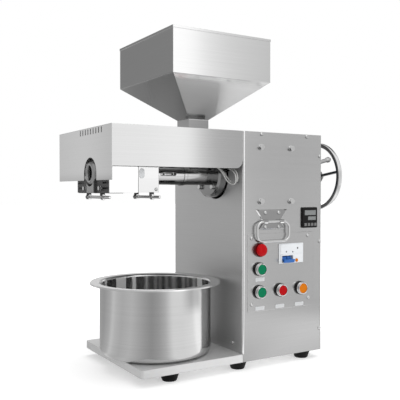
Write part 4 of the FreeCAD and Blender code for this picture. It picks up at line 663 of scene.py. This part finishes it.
# %% [markdown]
# ## The studio that the metal mirrors
#
# Sheet steel and chrome have hardly any colour of their own: what makes them look like steel is the
# room. A studio stands paper screens all round the set, bright where the softboxes are and grey
# between them. They could be many separate cards; here they are one mesh, centred on the oil pot: a
# disc on the table, a round wall and a roof. Each of its points carries a brightness, which the
# next step gives. Only glossy rays see the ring, so it neither shows nor lights anything dull.

# %% A ring of screens
def shade_at(stops, bearing):
    """Brightness at a bearing, on straight lines between the stops, once round the compass."""
    stops = sorted(stops)
    stops = [(stops[-1][0] - 360.0, stops[-1][1])] + stops + [(stops[0][0] + 360.0, stops[0][1])]
    for (left, low), (right, high) in zip(stops, stops[1:]):
        if left <= bearing <= right:
            return low + (high - low) * (bearing - left) / (right - left)


def ring_of_screens(centre, rows, step=1.5):
    """rows: (radius, height, stops), from the middle of the table outwards and up."""
    bearings = [k * step for k in range(int(360 / step))]
    turns = len(bearings)
    points = [(centre[0] + radius * math.sin(math.radians(bearing)),
               centre[1] + radius * math.cos(math.radians(bearing)), height)
              for radius, height, _ in rows for bearing in bearings]
    shades = [shade_at(stops, bearing) for _, _, stops in rows for bearing in bearings]
    faces = [(r * turns + k, r * turns + (k + 1) % turns, (r + 1) * turns + (k + 1) % turns,
              (r + 1) * turns + k) for r in range(len(rows) - 1) for k in range(turns)]
    mesh = bpy.data.meshes.new("screens")
    mesh.from_pydata(points, [], faces)
    mesh.attributes.new("shade", "FLOAT", "POINT").data.foreach_set("value", shades)
    made = bpy.data.objects.new("screens", mesh)
    bpy.context.collection.objects.link(made)
    return made


def paint_screens(made):
    """Paper that glows by the brightness of each point, and that only glossy rays see."""
    paint, paper = new_surround("screens")
    shade = paper.node("ShaderNodeAttribute", {"attribute_name": "shade"}, out="Fac")
    light = paper.node("ShaderNodeEmission", {}, {"Color": shade, "Strength": 1.0})
    paper.node("ShaderNodeOutputMaterial", {}, {"Surface": light})
    paint.cycles.emission_sampling = "NONE"
    made.data.materials.append(paint)
    for ray in ("camera", "diffuse", "transmission", "shadow"):
        setattr(made, "visible_" + ray, False)


print("a grey halfway between two screens", shade_at([(0, 0.2), (90, 0.6)], 45))

# %% [markdown]
# ## How bright each screen is
#
# The brightness is read from short lists of (compass bearing, brightness), from +y towards +x, one
# for each height. The strips at 55 to 62 and at 150 to 166 degrees are softboxes, which draw the long
# lights on the pot. The flat front mirrors the screens near 147 degrees and the left walls mirror
# those near 327, so there the brightness is set in smaller steps.

# %% Stand the screens up
table_stops = [
    (0, 0.42), (27, 0.9), (58, 0.55), (67, 1.3), (80, 1.3), (89, 0.8), (104, 1.1), (115, 1.35),
    (125, 1.35), (134, 1.1), (157, 1.0), (176, 1.0), (189, 0.64), (201, 0.48), (214, 0.40),
    (226, 0.48), (252, 0.69), (273, 0.61), (288, 0.70), (296, 0.82), (305, 0.61), (327, 0.45)]
low_stops = [
    (5, 0.8), (27, 1.0), (45, 0.6), (52, 0.6), (55, 1.5), (62, 1.5), (66, 0.2), (80, 0.2), (95, 0.6),
    (105, 1.1), (120, 1.1), (127, 0.72), (143, 0.66), (148, 0.9), (150.5, 1.3), (166, 1.27),
    (180, 0.9), (201, 0.5), (214, 0.4), (226, 0.5), (252, 0.7), (290, 0.7), (310, 0.5), (326, 0.28),
    (331, 0.5), (334, 0.64), (345, 0.66)]
middle_stops = [
    (5, 0.9), (27, 1.0), (45, 0.6), (52, 0.6), (55, 1.5), (62, 1.5), (66, 0.2), (80, 0.2), (95, 0.6),
    (105, 1.1), (120, 1.0), (127, 0.68), (143, 0.63), (147, 0.68), (149.5, 0.90), (151.5, 1.38),
    (153, 1.46), (159, 1.36), (170, 1.3), (185, 0.9), (201, 0.5), (214, 0.4), (226, 0.5),
    (252, 0.7), (290, 0.7), (310, 0.6), (328, 0.77), (333, 0.9), (338, 0.77), (350, 0.8)]
high_stops = [
    (5, 0.8), (27, 1.0), (45, 0.6), (60, 0.2), (80, 0.2), (95, 0.6), (105, 1.1), (139, 0.9),
    (146, 1.08), (150, 1.35), (152, 1.75), (165, 1.75), (180, 1.2), (205, 0.7), (252, 0.7),
    (300, 0.6), (318, 0.35), (352, 0.3)]
roof_stops = [
    (0, 0.6), (60, 1.2), (90, 1.7), (130, 1.7), (160, 1.3), (210, 1.0), (300, 0.7), (330, 0.4)]
far_stops = [(bearing, shade * (0.55 if 110 <= bearing <= 150 else 1.0))
             for bearing, shade in table_stops]
just_above_table, wall_radius = 0.0015, 1.40
floor_rows = [(0.10, table_stops), (0.76, table_stops), (0.92, far_stops), (1.38, far_stops)]
wall_rows = [(0.03, low_stops), (0.41, low_stops), (0.46, middle_stops), (0.66, middle_stops),
             (0.84, high_stops), (1.6, high_stops)]
roof_rows = [(1.00, 2.4, roof_stops), (0.01, 2.6, roof_stops)]
screens = ring_of_screens(pot_axis, [(radius, just_above_table, stops) for radius, stops in floor_rows]
                          + [(wall_radius, height, stops) for height, stops in wall_rows] + roof_rows)
paint_screens(screens)
print("screens with", len(screens.data.polygons), "faces")

# %% [markdown]
# ## Two soft lamps
#
# The dull surfaces, which are the plastics, the rubber and the table, are lit by a wide lamp in front
# on the left and one overhead, which makes the soft shadow under the tray. A small lamp would draw a
# hard shadow instead. Neither shows in a mirror.

# %% Lamps
def lamp(name, place, size, watts, aim):
    light = bpy.data.lights.new(name, "AREA")
    light.shape = "RECTANGLE"
    light.size, light.size_y = size
    light.energy = watts
    made = bpy.data.objects.new(name, light)
    made.location = place
    made.rotation_euler = (Vector(aim) - Vector(place)).to_track_quat("-Z", "Y").to_euler()
    made.visible_glossy = False
    bpy.context.collection.objects.link(made)
    return made


lamps = [lamp("front lamp", (-0.3, -2.4, 1.1), (3.0, 2.2), 30.0, (0.0, 0.0, 0.35)),
         lamp("top lamp", (0.2, 0.1, 2.4), (2.2, 1.8), 40.0, (0.1, 0.0, 0.0))]
print(len(lamps), "lamps")

# %% [markdown]
# ## The last update
#
# The dressed press must be as large as the construction. The last line brings the scene up to date.

# %% Update the scene
bpy.context.view_layer.update()
